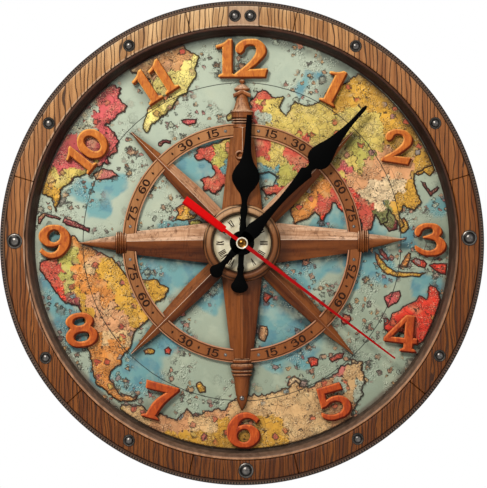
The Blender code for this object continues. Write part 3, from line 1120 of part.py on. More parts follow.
def make_case_rear():
    """The rear plate with the battery's opening, the knob's well and the wheels' studs."""
    side = CASE_HALF_SIDE
    case = block("case_rear", (-side, side), (-side, side), (0, REAR_PLATE), CASE_PLASTIC)
    well = KNOB_RADIUS + 2 * SEAT_GAP
    floor_front = KNOB_WELL_FLOOR + KNOB_WELL_WALL
    combine(case, cylinder("cup", well + KNOB_WELL_WALL, 0, floor_front, CASE_PLASTIC, 24, MOTION_AXIS))
    combine(case, cylinder("boss", BOSS_RADIUS, 0, BOSS_FRONT, CASE_PLASTIC))
    stud(case, STEP_AXIS, wheel_end(SECOND_WHEEL_BACK) + 2 * SEAT_GAP)
    stud(case, THIRD_AXIS, wheel_end(CENTRE_WHEEL_BACK) + 2 * SEAT_GAP)
    stud(case, ROTOR_AXIS, THIRD_WHEEL_BACK + MAGNET_LENGTH)
    inside = side - CASE_WALL
    opening = block(
        "opening", (SEAT_GAP - BATTERY_LENGTH / 2 - 2 * SEAT_GAP, BATTERY_LENGTH / 2 + SEAT_GAP),
        (-inside, BAY_WALL_HEIGHT - BAY_WALL_THICKNESS), (-CUT_OVERRUN, REAR_PLATE + CUT_OVERRUN), CASE_PLASTIC,
    )
    combine(case, opening, "DIFFERENCE")
    combine(case, cylinder("well", well, -CUT_OVERRUN, KNOB_WELL_FLOOR, CASE_PLASTIC, 24, MOTION_AXIS), "DIFFERENCE")
    shaft_hole = cylinder(
        "shaft_hole", MOTION_SHAFT_RADIUS + RUN_GAP, 0, floor_front + CUT_OVERRUN, CASE_PLASTIC, SHAFT_SEGMENTS,
        MOTION_AXIS,
    )
    combine(case, shaft_hole, "DIFFERENCE")
    pivot = cylinder("pivot", CENTRE_BORE, REAR_PLATE + SEAT_GAP, BOSS_FRONT + CUT_OVERRUN, CASE_PLASTIC)
    combine(case, pivot, "DIFFERENCE")


BOSS_RADIUS = 0.0016
BOSS_FRONT = SECOND_WHEEL_BACK - 2 * SEAT_GAP


def make_case_front():
    """The front shell with its walls, the battery bay's wall, and the threaded bush for the shafts."""
    side, inside = CASE_HALF_SIDE, CASE_HALF_SIDE - CASE_WALL
    floor = CASE_DEPTH - FRONT_PLATE
    rim = REAR_PLATE + SEAT_GAP
    case = block("case_front", (-side, side), (-side, side), (rim, CASE_DEPTH), CASE_PLASTIC)
    room = block("room", (-inside, inside), (-inside, inside), (rim - CUT_OVERRUN, floor), CASE_PLASTIC)
    combine(case, room, "DIFFERENCE")
    wall_end = inside - 4 * SEAT_GAP
    wall = block(
        "bay_wall", (-wall_end, wall_end), (BAY_WALL_HEIGHT - BAY_WALL_THICKNESS, BAY_WALL_HEIGHT),
        (rim, CASE_DEPTH - FRONT_PLATE / 2), CASE_PLASTIC,
    )
    combine(case, wall)
    bush_front = HUB_DIAL_FRONT + 2 * SEAT_GAP + NUT_THICKNESS
    combine(case, cylinder("bush", BUSH_RADIUS, CASE_DEPTH - FRONT_PLATE / 2, bush_front, BRASS, 24))
    stud_back = MOTION_WHEEL_BACK + SEAT_GAP
    combine(case, cylinder("stud", STUD_RADIUS, stud_back, CASE_DEPTH - FRONT_PLATE / 2, STEEL, 12, MOTION_AXIS))
    bore = (floor - CUT_OVERRUN, bush_front + CUT_OVERRUN)
    combine(case, cylinder("bore", BUSH_BORE_RADIUS, *bore, BRASS, SHAFT_SEGMENTS * 3 // 2), "DIFFERENCE")


def make_nut():
    """The hexagonal nut that clamps the movement to the dial board."""
    back = HUB_DIAL_FRONT + SEAT_GAP
    outline = [clock_point(60 * corner, NUT_RADIUS) for corner in range(6)]
    nut = plate("fixing_nut", outline, back, back + NUT_THICKNESS, BRASS)
    through = (back - CUT_OVERRUN, back + NUT_THICKNESS + CUT_OVERRUN)
    combine(nut, cylinder("bore", BUSH_RADIUS + SEAT_GAP, *through, BRASS, 24), "DIFFERENCE")


def make_motor():
    """The stator plate round the rotor, and the coil on its core between the stator's ears."""
    back = THIRD_WHEEL_BACK
    front = back + STATOR_THICKNESS
    middle = ROTOR_AXIS[0]
    half = COIL_LENGTH / 2
    ear = half + COIL_FLANGE_THICKNESS
    reach = half + CORE_OVERHANG
    ear_top = COIL_HEIGHT - CORE_WIDTH / 2 - SEAT_GAP
    yoke_top = COIL_HEIGHT - COIL_FLANGE_RADIUS - SEAT_GAP
    low = ROTOR_AXIS[1] - MAGNET_RADIUS - STATOR_GAP - CASE_WALL / 2
    clear = THIRD_WHEEL_TEETH * TRAIN_MODULE / 2 + TRAIN_MODULE + 2 * SEAT_GAP
    hollow = [offset(THIRD_AXIS, turn, clear) for turn in (83, 65, 46, 27, 8)]
    outline = [
        (middle - reach, ear_top), (middle - ear, ear_top), (middle - ear, yoke_top), (middle + ear, yoke_top),
        (middle + ear, ear_top), (middle + reach, ear_top), (middle + reach, low),
    ]
    outline += [(hollow[-1][0], low), *reversed(hollow), (middle - reach, hollow[0][1])]
    stator = plate("stator", outline, back, front, STEEL)
    through = (back - CUT_OVERRUN, front + CUT_OVERRUN)
    hole = cylinder("hole", MAGNET_RADIUS + STATOR_GAP, *through, STEEL, 24, ROTOR_AXIS)
    combine(stator, hole, "DIFFERENCE")

    bm = bmesh.new()
    stations = [
        (-half, COIL_FLANGE_RADIUS), (-half + COIL_FLANGE_THICKNESS, COIL_FLANGE_RADIUS),
        (-half + COIL_FLANGE_THICKNESS, COIL_RADIUS), (half - COIL_FLANGE_THICKNESS, COIL_RADIUS),
        (half - COIL_FLANGE_THICKNESS, COIL_FLANGE_RADIUS), (half, COIL_FLANGE_RADIUS),
    ]
    points = [bm.verts.new((along, 0, radius)) for along, radius in [(-half, 0), *stations, (half, 0)]]
    edges = [bm.edges.new(pair) for pair in zip(points, points[1:])]
    bmesh.ops.spin(
        bm, geom=points + edges, axis=(1, 0, 0), cent=(0, 0, 0), steps=20, angle=math.tau, use_merge=True
    )
    bmesh.ops.remove_doubles(bm, verts=bm.verts, dist=RUN_GAP / 20)
    coil = add_object("coil", bm, COPPER)
    coil.location = (middle, -(back + front) / 2, COIL_HEIGHT)
    core = block(
        "core", (middle - reach, middle + reach), (COIL_HEIGHT - CORE_WIDTH / 2, COIL_HEIGHT + CORE_WIDTH / 2),
        (back, front), STEEL,
    )
    combine(coil, core)


def make_circuit():
    """The circuit board with its chip and crystal, and a battery contact soldered on at each end."""
    inside = CASE_HALF_SIDE - CASE_WALL - SEAT_GAP
    back = REAR_PLATE + SEAT_GAP
    front = back + CIRCUIT_THICKNESS
    bottom = BAY_WALL_HEIGHT + SEAT_GAP
    board = block("circuit_board", (-inside, inside), (bottom, CIRCUIT_TOP), (back, front), BOARD_GREEN)
    middle = (bottom + CIRCUIT_TOP) / 2
    chip = block(
        "chip", (-3 * CHIP_SIDE, -2 * CHIP_SIDE), (middle - CHIP_SIDE / 2, middle + CHIP_SIDE / 2),
        (front - SEAT_GAP, front + CHIP_HEIGHT), CASE_PLASTIC,
    )
    combine(board, chip)
    crystal = block(
        "crystal", (3 * CRYSTAL_LENGTH - CRYSTAL_LENGTH, 3 * CRYSTAL_LENGTH),
        (middle - CRYSTAL_RADIUS, middle + CRYSTAL_RADIUS), (front - SEAT_GAP, front + 2 * CRYSTAL_RADIUS), STEEL,
    )
    combine(board, crystal)
    bay_middle = battery_height()
    for side in (-1, 1):
        strip_range = sorted((side * inside, side * (inside - CONTACT_THICKNESS)))
        strip = block(
            "strip", strip_range, (bay_middle - BATTERY_RADIUS / 2, middle),
            (back, BATTERY_DEPTH + BATTERY_RADIUS / 2), STEEL,
        )
        combine(board, strip)
        bump_end = BATTERY_LENGTH / 2 + SEAT_GAP
        bump_range = sorted((side * bump_end, side * (inside - CONTACT_THICKNESS / 2)))
        half = CONTACT_BUMP_RADIUS
        bump = block(
            "bump", bump_range, (bay_middle - half, bay_middle + half),
            (BATTERY_DEPTH - half, BATTERY_DEPTH + half), STEEL,
        )
        combine(board, bump)


def battery_height():
    """The height of the battery's axis, in the middle of its bay."""
    return (BAY_WALL_HEIGHT - BAY_WALL_THICKNESS - CASE_HALF_SIDE + CASE_WALL) / 2


BATTERY_DEPTH = CASE_DEPTH - FRONT_PLATE - SEAT_GAP - BATTERY_RADIUS


def make_battery():
    """One AA cell, its button end to the right."""
    start, end = -BATTERY_LENGTH / 2, BATTERY_LENGTH / 2
    shoulder = end - BATTERY_NUB_LENGTH
    bm = bmesh.new()
    outline = [
        (start, 0), (start, BATTERY_RADIUS), (shoulder, BATTERY_RADIUS), (shoulder, BATTERY_NUB_RADIUS),
        (end, BATTERY_NUB_RADIUS), (end, 0),
    ]
    points = [bm.verts.new((along, 0, radius)) for along, radius in outline]
    edges = [bm.edges.new(pair) for pair in zip(points, points[1:])]
    bmesh.ops.spin(
        bm, geom=points + edges, axis=(1, 0, 0), cent=(0, 0, 0), steps=32, angle=math.tau, use_merge=True
    )
    bmesh.ops.remove_doubles(bm, verts=bm.verts, dist=RUN_GAP / 20)
    battery = add_object("battery", bm, BATTERY_WRAP)
    battery.location = (0, -BATTERY_DEPTH, battery_height())


make_case_rim()
make_hanger()
make_board()
make_lands()
make_rose()
make_numerals()
make_hands()
make_train()
make_motion_work()
make_case_rear()
make_case_front()
make_nut()
make_motor()
make_circuit()
make_battery()
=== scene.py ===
# %% [markdown]
# # The looks of a map wall clock
#
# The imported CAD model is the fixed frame. Each visible piece is rebuilt here with finer shapes and a
# procedural material, and rides on the same body as the CAD node that it replaces. Sizes are in metres:
# the dial faces -Y, and a depth is a distance in front of the wall.

# %%
import math

import bmesh
import bpy
from mathutils import Matrix, Vector, geometry, kdtree, noise


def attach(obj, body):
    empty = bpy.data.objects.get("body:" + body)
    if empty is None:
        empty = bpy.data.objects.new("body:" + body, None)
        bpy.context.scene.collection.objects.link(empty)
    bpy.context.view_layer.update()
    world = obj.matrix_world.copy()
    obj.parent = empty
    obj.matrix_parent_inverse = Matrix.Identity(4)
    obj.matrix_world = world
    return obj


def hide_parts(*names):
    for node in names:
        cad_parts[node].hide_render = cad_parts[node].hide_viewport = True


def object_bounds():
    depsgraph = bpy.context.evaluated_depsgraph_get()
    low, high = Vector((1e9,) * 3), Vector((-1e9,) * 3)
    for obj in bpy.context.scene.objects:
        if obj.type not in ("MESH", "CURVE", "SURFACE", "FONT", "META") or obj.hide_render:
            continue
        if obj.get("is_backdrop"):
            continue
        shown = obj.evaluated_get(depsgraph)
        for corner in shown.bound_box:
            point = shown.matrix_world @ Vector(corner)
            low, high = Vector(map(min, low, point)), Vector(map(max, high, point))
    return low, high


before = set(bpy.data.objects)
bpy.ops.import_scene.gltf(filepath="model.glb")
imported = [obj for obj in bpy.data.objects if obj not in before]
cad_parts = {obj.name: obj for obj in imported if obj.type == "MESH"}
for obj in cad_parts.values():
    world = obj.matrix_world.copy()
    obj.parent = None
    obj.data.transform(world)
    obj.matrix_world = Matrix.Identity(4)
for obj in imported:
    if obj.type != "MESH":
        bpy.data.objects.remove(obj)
noise.seed_set(3)
cad_box = [list(corner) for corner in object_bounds()]
MM = 0.001
print("CAD nodes:", len(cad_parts), "box:", cad_box)

# %% [markdown]
# ## Helpers for shapes
#
# Every shape goes through `finished`, which makes one linked object with smooth shading and sharp creases.
# Outlines and profiles are written as short texts of numbers, which `mm`, `numbers` and `knots` read.


# %%
def finished(name, bm, crease=35.0, merge=0.0):
    """Turns a bmesh into a linked object."""
    if merge:
        bmesh.ops.remove_doubles(bm, verts=bm.verts, dist=merge)
    bmesh.ops.recalc_face_normals(bm, faces=bm.faces)
    mesh = bpy.data.meshes.new(name)
    bm.to_mesh(mesh)
    bm.free()
    mesh.shade_smooth()
    mesh.set_sharp_from_angle(angle=math.radians(crease))
    made = bpy.data.objects.new(name, mesh)
    bpy.context.scene.collection.objects.link(made)
    return made


def skin(bm, rows):
    """Makes the faces between neighbouring closed rows of points."""
    for near, far in zip(rows, rows[1:]):
        for side in zip(near, near[1:] + near[:1], far[1:] + far[:1], far):
            bm.faces.new(side)


def loft(name, loops):
    """Skins a row of closed outlines with the same number of points, and caps both ends."""
    bm = bmesh.new()
    rows = [[bm.verts.new(point) for point in loop] for loop in loops]
    skin(bm, rows)
    bm.faces.new(rows[0])
    bm.faces.new(rows[-1])
    return finished(name, bm)


def around(radius, depth, angle, centre=(0, 0)):
    """The point at a clock angle in degrees."""
    turn = math.radians(angle)
    return Vector((centre[0] + radius * math.sin(turn), -depth, centre[1] + radius * math.cos(turn)))


def turned(name, profile, steps=96, centre=(0, 0), crease=35.0):
    """Turns a closed outline of (radius, depth) points round an axis along Y."""
    bm = bmesh.new()
    rows = [
        [bm.verts.new(around(radius, depth, 360 * step / steps, centre)) for radius, depth in profile]
        for step in range(steps)
    ]
    skin(bm, rows + rows[:1])
    bmesh.ops.remove_doubles(bm, verts=bm.verts, dist=1e-6)
    bmesh.ops.dissolve_degenerate(bm, edges=bm.edges, dist=1e-7)
    return finished(name, bm, crease)


def merged(name, parts):
    """Joins objects into one."""
    bm = bmesh.new()
    for part in parts:
        bm.from_mesh(part.data)
        bpy.data.objects.remove(part)
    return finished(name, bm)


def arc(centre, radius, start, end, steps):
    """Points of an arc in (radius, depth), angles in degrees."""
    return [
        (centre[0] + radius * math.cos(math.radians(start + (end - start) * step / steps)),
         centre[1] + radius * math.sin(math.radians(start + (end - start) * step / steps)))
        for step in range(steps + 1)
    ]


def cut_plate(name, outlines, back, front, rounding, steps=6, soft=2):
    """A flat piece with curved rounded edges; "s" marks a smooth outline point and "c" a corner."""
    curve = bpy.data.curves.new(name, "CURVE")
    curve.dimensions = "2D"
    curve.fill_mode = "BOTH"
    curve.extrude = (front - back) / 2 - rounding
    curve.bevel_depth = rounding
    curve.bevel_resolution = soft
    curve.offset = -rounding
    curve.resolution_u = steps
    for outline in outlines:
        spline = curve.splines.new("BEZIER")
        spline.bezier_points.add(len(outline) - 1)
        spline.use_cyclic_u = True
        for knot, (x, z, kind) in zip(spline.bezier_points, outline):
            knot.co = (x, z, 0)
            knot.handle_left_type = knot.handle_right_type = "AUTO" if kind == "s" else "VECTOR"
    drawn = bpy.data.objects.new(name, curve)
    bpy.context.scene.collection.objects.link(drawn)
    bpy.context.view_layer.update()
    mesh = bpy.data.meshes.new_from_object(drawn.evaluated_get(bpy.context.evaluated_depsgraph_get()))
    bpy.data.objects.remove(drawn)
    bm = bmesh.new()
    bm.from_mesh(mesh)
    bmesh.ops.rotate(bm, matrix=Matrix.Rotation(math.radians(90), 3, "X"), verts=bm.verts)
    bmesh.ops.translate(bm, vec=(0, -(front + back) / 2, 0), verts=bm.verts)
    return finished(name, bm, 50.0, 1e-6)


def set_down(piece, x=0.0, z=0.0, clockwise=0.0):
    """Turns a piece about the Y axis, then moves it, in its mesh."""
    turn = Matrix.Translation((x, 0, z)) @ Matrix.Rotation(math.radians(clockwise), 4, "Y")
    piece.data.transform(turn)
    return piece


def dressed(piece, material, nodes, body="clock_case"):
    """Gives a piece its material and its body, and hides the CAD nodes that it stands for."""
    piece.data.materials.clear()
    piece.data.materials.append(material)
    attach(piece, body)
    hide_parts(*nodes)
    return piece


def by_point(piece, name, value_of):
    """Stores a number for each point, found from its place."""
    made = piece.data.attributes.new(name, "FLOAT", "POINT")
    made.data.foreach_set("value", [value_of(vert.co) for vert in piece.data.vertices])
    return piece


def by_face(piece, value_of):
    """Stores a number named lit for each face, on its corners."""
    made = piece.data.attributes.new("lit", "FLOAT", "CORNER")
    for face in piece.data.polygons:
        value = value_of(face)
        for corner in face.loop_indices:
            made.data[corner].value = value
    return piece


def smooth(value):
    """Eases a share from 0 to 1, and clamps it."""
    share = clamped(value)
    return share * share * (3 - 2 * share)


def clamped(value):
    """The value, kept from 0 to 1."""
    return min(1.0, max(0.0, value))


def numbers(text):
    """Tuples of numbers, written like 1,2 3,4."""
    return [tuple(map(float, word.split(","))) for word in text.split()]


def mm(text, depth=0.0):
    """Pairs of lengths in metres, written in millimetres; the second one counts from a depth."""
    return [(first * MM, depth + second * MM) for first, second in numbers(text)]


def knots(text):
    """Outline points, written like 1,2 where the outline is smooth and 1,2c at a corner."""
    return [(*numbers(word.rstrip("c"))[0], "c" if word.endswith("c") else "s") for word in text.split()]


print("shape helpers ready")

# %% [markdown]
# ## Helpers for materials
#
# A `Wire` is a node's output. Sums and products of wires make math nodes, and `node` makes any other.


# %%
class Wire:
    """An output socket that builds further nodes."""

    def __init__(self, socket):
        self.socket = socket

    def node(self, kind, inputs, output=0, **settings):
        tree = self.socket.id_data
        made = tree.nodes.new("ShaderNode" + kind)
        for key, value in settings.items():
            setattr(made, key, value)
        for key, value in inputs.items():
            if isinstance(value, Wire):
                tree.links.new(value.socket, made.inputs[key])
            else:
                made.inputs[key].default_value = value
        return Wire(made.outputs[output])

    def math(self, operation, other=0.0):
        return self.node("Math", {0: self, 1: other}, operation=operation)

    def __add__(self, other):
        return self.math("ADD", other)

    def __sub__(self, other):
        return self.math("SUBTRACT", other)

    def __mul__(self, other):
        return self.math("MULTIPLY", other)

    def most(self, other):
        return self.math("MAXIMUM", other)

    def off(self, value):
        """How far this is from a value."""
        return (self - value).math("ABSOLUTE")

    def waves(self):
        """Goes up to 0.5 and back again for each whole number."""
        return self.math("PINGPONG", 0.5)

    def stretched(self, x, y, z):
        """This vector with its axes scaled."""
        return self.node("VectorMath", {0: self, 1: (x, y, z)}, operation="MULTIPLY")

    def moved(self, other):
        """This vector plus another."""
        return self.node("VectorMath", {0: self, 1: other}, operation="ADD")

    def axes(self):
        """The three parts of this vector."""
        return [self.node("SeparateXYZ", {0: self}, part) for part in range(3)]

    def noise(self, scale, detail=3.0, rough=0.5, colour=False):
        values = {"Vector": self, "Scale": scale, "Detail": detail, "Roughness": rough}
        return self.node("TexNoise", values, 1 if colour else 0)

    def cells(self, scale):
        """The distance to the nearest of scattered points in a plane, and three numbers of that point."""
        values = {"Vector": self, "Scale": scale}
        away = self.node("TexVoronoi", values, 0, voronoi_dimensions="2D")
        cell = self.node("TexVoronoi", values, 1, voronoi_dimensions="2D")
        return away, *(cell.node("SeparateColor", {0: cell}, part) for part in range(3))

    def warped(self, scale, amount, detail=2.0):
        """This vector pushed about by noise."""
        push = self.noise(scale, detail, colour=True)
        centred = push.node("VectorMath", {0: push, 1: (0.5, 0.5, 0.5)}, operation="SUBTRACT")
        return self.moved(centred.node("VectorMath", {0: centred, 3: amount}, operation="SCALE"))

    def between(self, low, high):
        """0 below the low value, 1 above the high one, smooth between; falls where high is the lower."""
        values = {"Value": self, "From Min": low, "From Max": high}
        return self.node("MapRange", values, interpolation_type="SMOOTHSTEP")

    def blend(self, first, second):
        """The first colour where this is 0, the second where it is 1."""
        return self.node("Mix", {0: self, 6: first, 7: second}, 2, data_type="RGBA")

    def times(self, other):
        """This colour multiplied by another."""
        return self.node("Mix", {0: 1.0, 6: self, 7: other}, 2, data_type="RGBA", blend_type="MULTIPLY")

    def length(self):
        """The distance from the Y axis."""
        flat = self.stretched(1.0, 0.0, 1.0)
        return flat.node("VectorMath", {0: flat}, 1, operation="LENGTH")

    def ramp(self, *stops):
        """A colour for each position."""
        tree = self.socket.id_data
        made = tree.nodes.new("ShaderNodeValToRGB")
        band = made.color_ramp
        while len(band.elements) < len(stops):
            band.elements.new(0.5)
        for element, (position, colour) in zip(band.elements, stops):
            element.position = position
            element.color = colour
        tree.links.new(self.socket, made.inputs[0])
        return Wire(made.outputs[0])

    def painted(self, text):
        """The same with picture colours, written like 0,120,80,40 1,200,160,120."""
        return self.ramp(*[(position, rgb(*colour)) for position, *colour in numbers(text)])

    def bumped(self, strength, distance):
        return self.node("Bump", {"Height": self, "Strength": strength, "Distance": distance})


def rgb(red, green, blue):
    """A linear colour from the 0 to 255 values of a picture."""
    def linear(value):
        share = value / 255
        return share / 12.92 if share <= 0.04045 else ((share + 0.055) / 1.055) ** 2.4
    return (linear(red), linear(green), linear(blue), 1.0)


def new_material(name):
    """A material, its shader, and the wire of its object coordinates."""
    material = bpy.data.materials.new(name)
    material.use_nodes = True
    tree = material.node_tree
    shader = tree.nodes["Principled BSDF"]
    place = Wire(tree.nodes.new("ShaderNodeTexCoord").outputs["Object"])
    return material, shader, place


def attribute(place, name, output="Fac"):
    """The wire of a stored attribute."""
    node = place.socket.id_data.nodes.new("ShaderNodeAttribute")
    node.attribute_name = name
    return Wire(node.outputs[output])


def feed(shader, **values):
    """Links wires to the shader's inputs, and sets plain numbers on them."""
    names = {"colour": "Base Color", "rough": "Roughness", "metal": "Metallic", "normal": "Normal",
             "coat": "Coat Weight", "specular": "Specular IOR Level"}
    for key, value in values.items():
        socket = shader.inputs[names[key]]
        if isinstance(value, Wire):
            shader.id_data.links.new(value.socket, socket)
        else:
            socket.default_value = value


def wood(name, dark, middle, light, fine, lines, line_share, shine, bump, tint):
    """Carved or turned wood, its grain along Z: broad bands, fine streaks and thin dark lines.

    The tint is a wire maker that changes the colour by place.
    """
    material, shader, place = new_material(name)
    bent = place.warped(18.0, 0.006)
    streaks = bent.stretched(1.0, 1.0, 0.035)
    broad = streaks.noise(fine * 0.28, 2.0)
    thin = streaks.noise(fine * 1.6, 4.0, 0.65)
    contour = (bent.stretched(1.0, 1.0, 0.028).noise(fine * 0.42, 1.0) * lines).waves().between(0.08, 0.0)
    colour = (broad * 0.62 + thin * 0.38).between(0.32, 0.68).blend(middle, light)
    colour = tint(place, (contour * line_share).blend(colour, dark))
    height = thin * 0.4 - contour * 0.8
    feed(shader, colour=colour, rough=thin.between(0.2, 0.9) * 0.2 + shine, specular=0.16,
         normal=height.bumped(bump, 0.4 * MM))
    return material


print("material helpers ready")

# %% [markdown]
# ## Camera, light and floor
#
# The photograph looks straight at the dial from far off. A large soft light hangs above and to the left
# in front, a weaker one fills from the right, and the world is white to the camera.

# %%
scene = bpy.context.scene
scene.view_settings.view_transform = "Standard"
scene.view_settings.look = "None"
camera_data = bpy.data.cameras.new("camera")
camera_data.lens = 200
camera_data.sensor_width = 36
camera = bpy.data.objects.new("camera", camera_data)
camera.location = (0.93 * MM, -1.709, -0.6 * MM)
camera.rotation_euler = (math.radians(90), 0, 0)
scene.collection.objects.link(camera)
scene.camera = camera


def add_light(name, place, size, power, colour):
    """A round area lamp that is aimed at the clock's middle."""
    light = bpy.data.lights.new(name, "AREA")
    light.shape = "DISK"
    light.size = size
    light.energy = power
    light.color = colour
    lamp = bpy.data.objects.new(name, light)
    lamp.location = place
    lamp.rotation_euler = (-Vector(place)).to_track_quat("-Z", "Y").to_euler()
    scene.collection.objects.link(lamp)


add_light("key", (-0.36, -1.15, 0.62), 0.30, 14.8, (1.0, 0.97, 0.93))
add_light("fill", (0.9, -1.1, 0.1), 0.8, 2.5, (0.95, 0.97, 1.0))

world = bpy.data.worlds.new("studio")
scene.world = world
world.use_nodes = True
tree = world.node_tree
background = tree.nodes["Background"]
direction = Wire(tree.nodes.new("ShaderNodeTexCoord").outputs["Generated"])
rise = direction.axes()[2]
soft = rise.between(-0.5, 0.9).blend((0.12, 0.11, 0.10, 1), (0.38, 0.39, 0.41, 1))
path = tree.nodes.new("ShaderNodeLightPath")
seen = Wire(path.outputs["Is Camera Ray"])
tree.links.new(seen.blend(soft, (1, 1, 1, 1)).socket, background.inputs["Color"])
background.inputs["Strength"].default_value = 1.0

bm = bmesh.new()
bmesh.ops.create_grid(bm, x_segments=1, y_segments=1, size=1.5)
bmesh.ops.translate(bm, vec=(0, 0, -0.42), verts=bm.verts)
floor = finished("floor", bm)
floor_material, floor_shader, floor_place = new_material("floor_white")
feed(floor_shader, colour=floor_place.noise(6.0).blend(rgb(238, 238, 238), rgb(246, 246, 246)), rough=0.9)
floor.data.materials.append(floor_material)
floor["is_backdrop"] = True
print("camera and light ready")

# %% [markdown]
# ## The rim
#
# Eight staves with eased edges and their rivets, the dark hoop round them with its milled edge, and the
# turned moulding that slopes down to the dial.

# %%
SEAT = 0.3 * MM
RIM_FRONT = 31.2 * MM
STAVE_IN, STAVE_OUT = 134.6 * MM, 146.9 * MM
JOINTS = (13.5, 73.3, 129.5, 166.2, 192.9, 227.5, 286.4, 346.3)
RIVETS = (2.1, 30.0, 58.2, 88.7, 119.7, 149.4, 179.0, 209.8, 239.7, 270.5, 301.8, 330.2, 358.2)
WASHERED = (3, 6, 9)
RIVET_CIRCLE = (STAVE_IN + STAVE_OUT) / 2


def veins(x, place, spacing, width, share):
    """Thin dark lines along Z at about the spacing, each wandering and broken by noise."""
    drawn = place.stretched(1.0, 1.0, 0.22)
    wander = (drawn.noise(55.0, 2.0) - 0.5) * 0.008
    phase = (x + wander) * (1 / spacing) + (drawn.noise(190.0, 1.0) - 0.5) * 1.7
    line = phase.waves() + (drawn.noise(900.0, 2.0) - 0.5) * 0.10
    broken = place.stretched(1.0, 1.0, 0.30).noise(230.0, 2.0).between(0.60 - share * 0.4, 0.68 - share * 0.4)
    return line.between(width / spacing * 0.75, width / spacing * 0.25) * broken


rim_wood, shader, place = new_material("rim_wood")
x, y, z = place.axes()
# Painted light: the staves are painted lighter toward the top left and darker toward the bottom right.
toward = (z - x * 0.25) * 3.33 + 0.5
colour = toward.painted("0,106,56,11 .25,116,63,16 .48,135,77,27 .78,160,106,60 .93,180,132,82 1,204,166,118")
streaks = place.stretched(1.0, 1.0, 0.06)
broad = streaks.noise(190.0, 3.0)
fine = streaks.noise(1100.0, 3.0, 0.6)
colour = colour.times(broad.between(0.34, 0.66).blend((0.70, 0.61, 0.52, 1), (1.12, 1.14, 1.16, 1)))
colour = colour.times(fine.between(0.30, 0.60).blend((0.80, 0.75, 0.70, 1), (1.05, 1.05, 1.05, 1)))
below = z.between(0.05, -0.06)
lines = veins(x, place, 2.8 * MM, 0.55 * MM, 1.0)
lines = lines.most(veins(x + 0.7 * MM, place, 1.9 * MM, 0.34 * MM, 0.6) * (below * 0.7 + 0.2))
at_top = z.between(0.10, 0.11)
plate = x.between(-8.9 * MM, -8.3 * MM) * x.between(10.8 * MM, 10.2 * MM) * at_top
colour = (plate * 0.55).blend(colour, rgb(150, 124, 108))
lines = lines * (plate * -0.8 + 1.0)
for seam in (-8.6 * MM, 10.5 * MM):
    lines = lines.most(x.off(seam).between(0.5 * MM, 0.2 * MM) * at_top)
radius = place.length()
ragged = radius + (place.noise(160.0, 3.0) - 0.5) * (2.2 * MM)
edge = ragged.between(0.1460, 0.1472) + ragged.between(0.1349, 0.1341) * 0.4
# Painted light on the staves' eased edges: pale at the top left, dark at the bottom right.
painted_light = toward.between(0.55, 1.0).blend(rgb(62, 33, 18), rgb(224, 200, 172))
colour = (edge * 0.6).blend(colour, painted_light)
# A painted highlight along the staves' inner edge at the top left.
inner = radius.between(0.1358, 0.1353) * (z - x).between(0.03, 0.12)
colour = (inner * 0.36).blend(colour, rgb(228, 200, 172))
colour = (lines * 0.90).blend(colour, rgb(48, 24, 9))
height = fine * 0.3 - lines * 0.9
feed(shader, colour=colour, rough=fine.between(0.2, 0.9) * 0.2 + 0.48, specular=0.25,
     normal=height.bumped(0.6, 0.4 * MM))
rivet_metal, shader, place = new_material("rivet_metal")
blotch = place.noise(420.0, 4.0, 0.6)
# Painted light and shade by the distance from the rivet's middle: a paler dome and flange, dark rings in the
# groove round the dome and at its foot.
rivet_light_and_shade = attribute(place, "away").ramp(
    (0.0, (1.1, 1.1, 1.1, 1)), (0.42, (0.75, 0.75, 0.75, 1)), (0.60, (0.10, 0.10, 0.10, 1)),
    (0.70, (0.12, 0.12, 0.12, 1)),
    (0.78, (0.95, 0.93, 0.90, 1)), (0.88, (0.8, 0.78, 0.75, 1)), (1.0, (0.16, 0.15, 0.14, 1)))
colour = blotch.between(0.2, 0.8).blend(rgb(74, 70, 67), rgb(132, 127, 121)).times(rivet_light_and_shade)
feed(shader, colour=colour, metal=0.75, rough=blotch * 0.15 + 0.24, normal=blotch.bumped(0.08, 0.2 * MM))

eased = 1.0 * MM
stave_profile = (
    [(STAVE_IN, 16.5 * MM), (STAVE_OUT, 16.5 * MM)]
    + arc((STAVE_OUT - eased, RIM_FRONT - eased), eased, 0, 90, 4)
    + [(STAVE_OUT - (STAVE_OUT - STAVE_IN) * share, RIM_FRONT) for share in (0.25, 0.5, 0.75)]
    + arc((STAVE_IN + eased, RIM_FRONT - eased), eased, 90, 180, 4)
)


def stave(number, start, end):
    """One stave, its ends chamfered and its face a little uneven."""
    eased = 0.35 * MM
    gap, chamfer = math.degrees(0.15 * MM / STAVE_IN), math.degrees(eased / STAVE_IN)
    first, last = start + gap, end - gap
    steps = int((last - first) / 0.8)
    inner = [first + chamfer + (last - first - 2 * chamfer) * step / steps for step in range(steps + 1)]
    stations = [(first, eased)] + [(angle, 0.0) for angle in inner] + [(last, eased)]
    middle = 24 * MM
    loops = []
    for angle, inset in stations:
        loop = []
        for radius, depth in stave_profile:
            near = 1 - inset / (6 * MM)
            shrunk = RIVET_CIRCLE + (radius - RIVET_CIRCLE) * near
            point = around(shrunk, middle + (depth - middle) * near, angle)
            if depth > 30 * MM:
                point.y += 0.16 * MM * (0.5 + noise.noise(point * 90))
            loop.append(point)
        loops.append(loop)
    return loft(f"stave_{number}", loops)


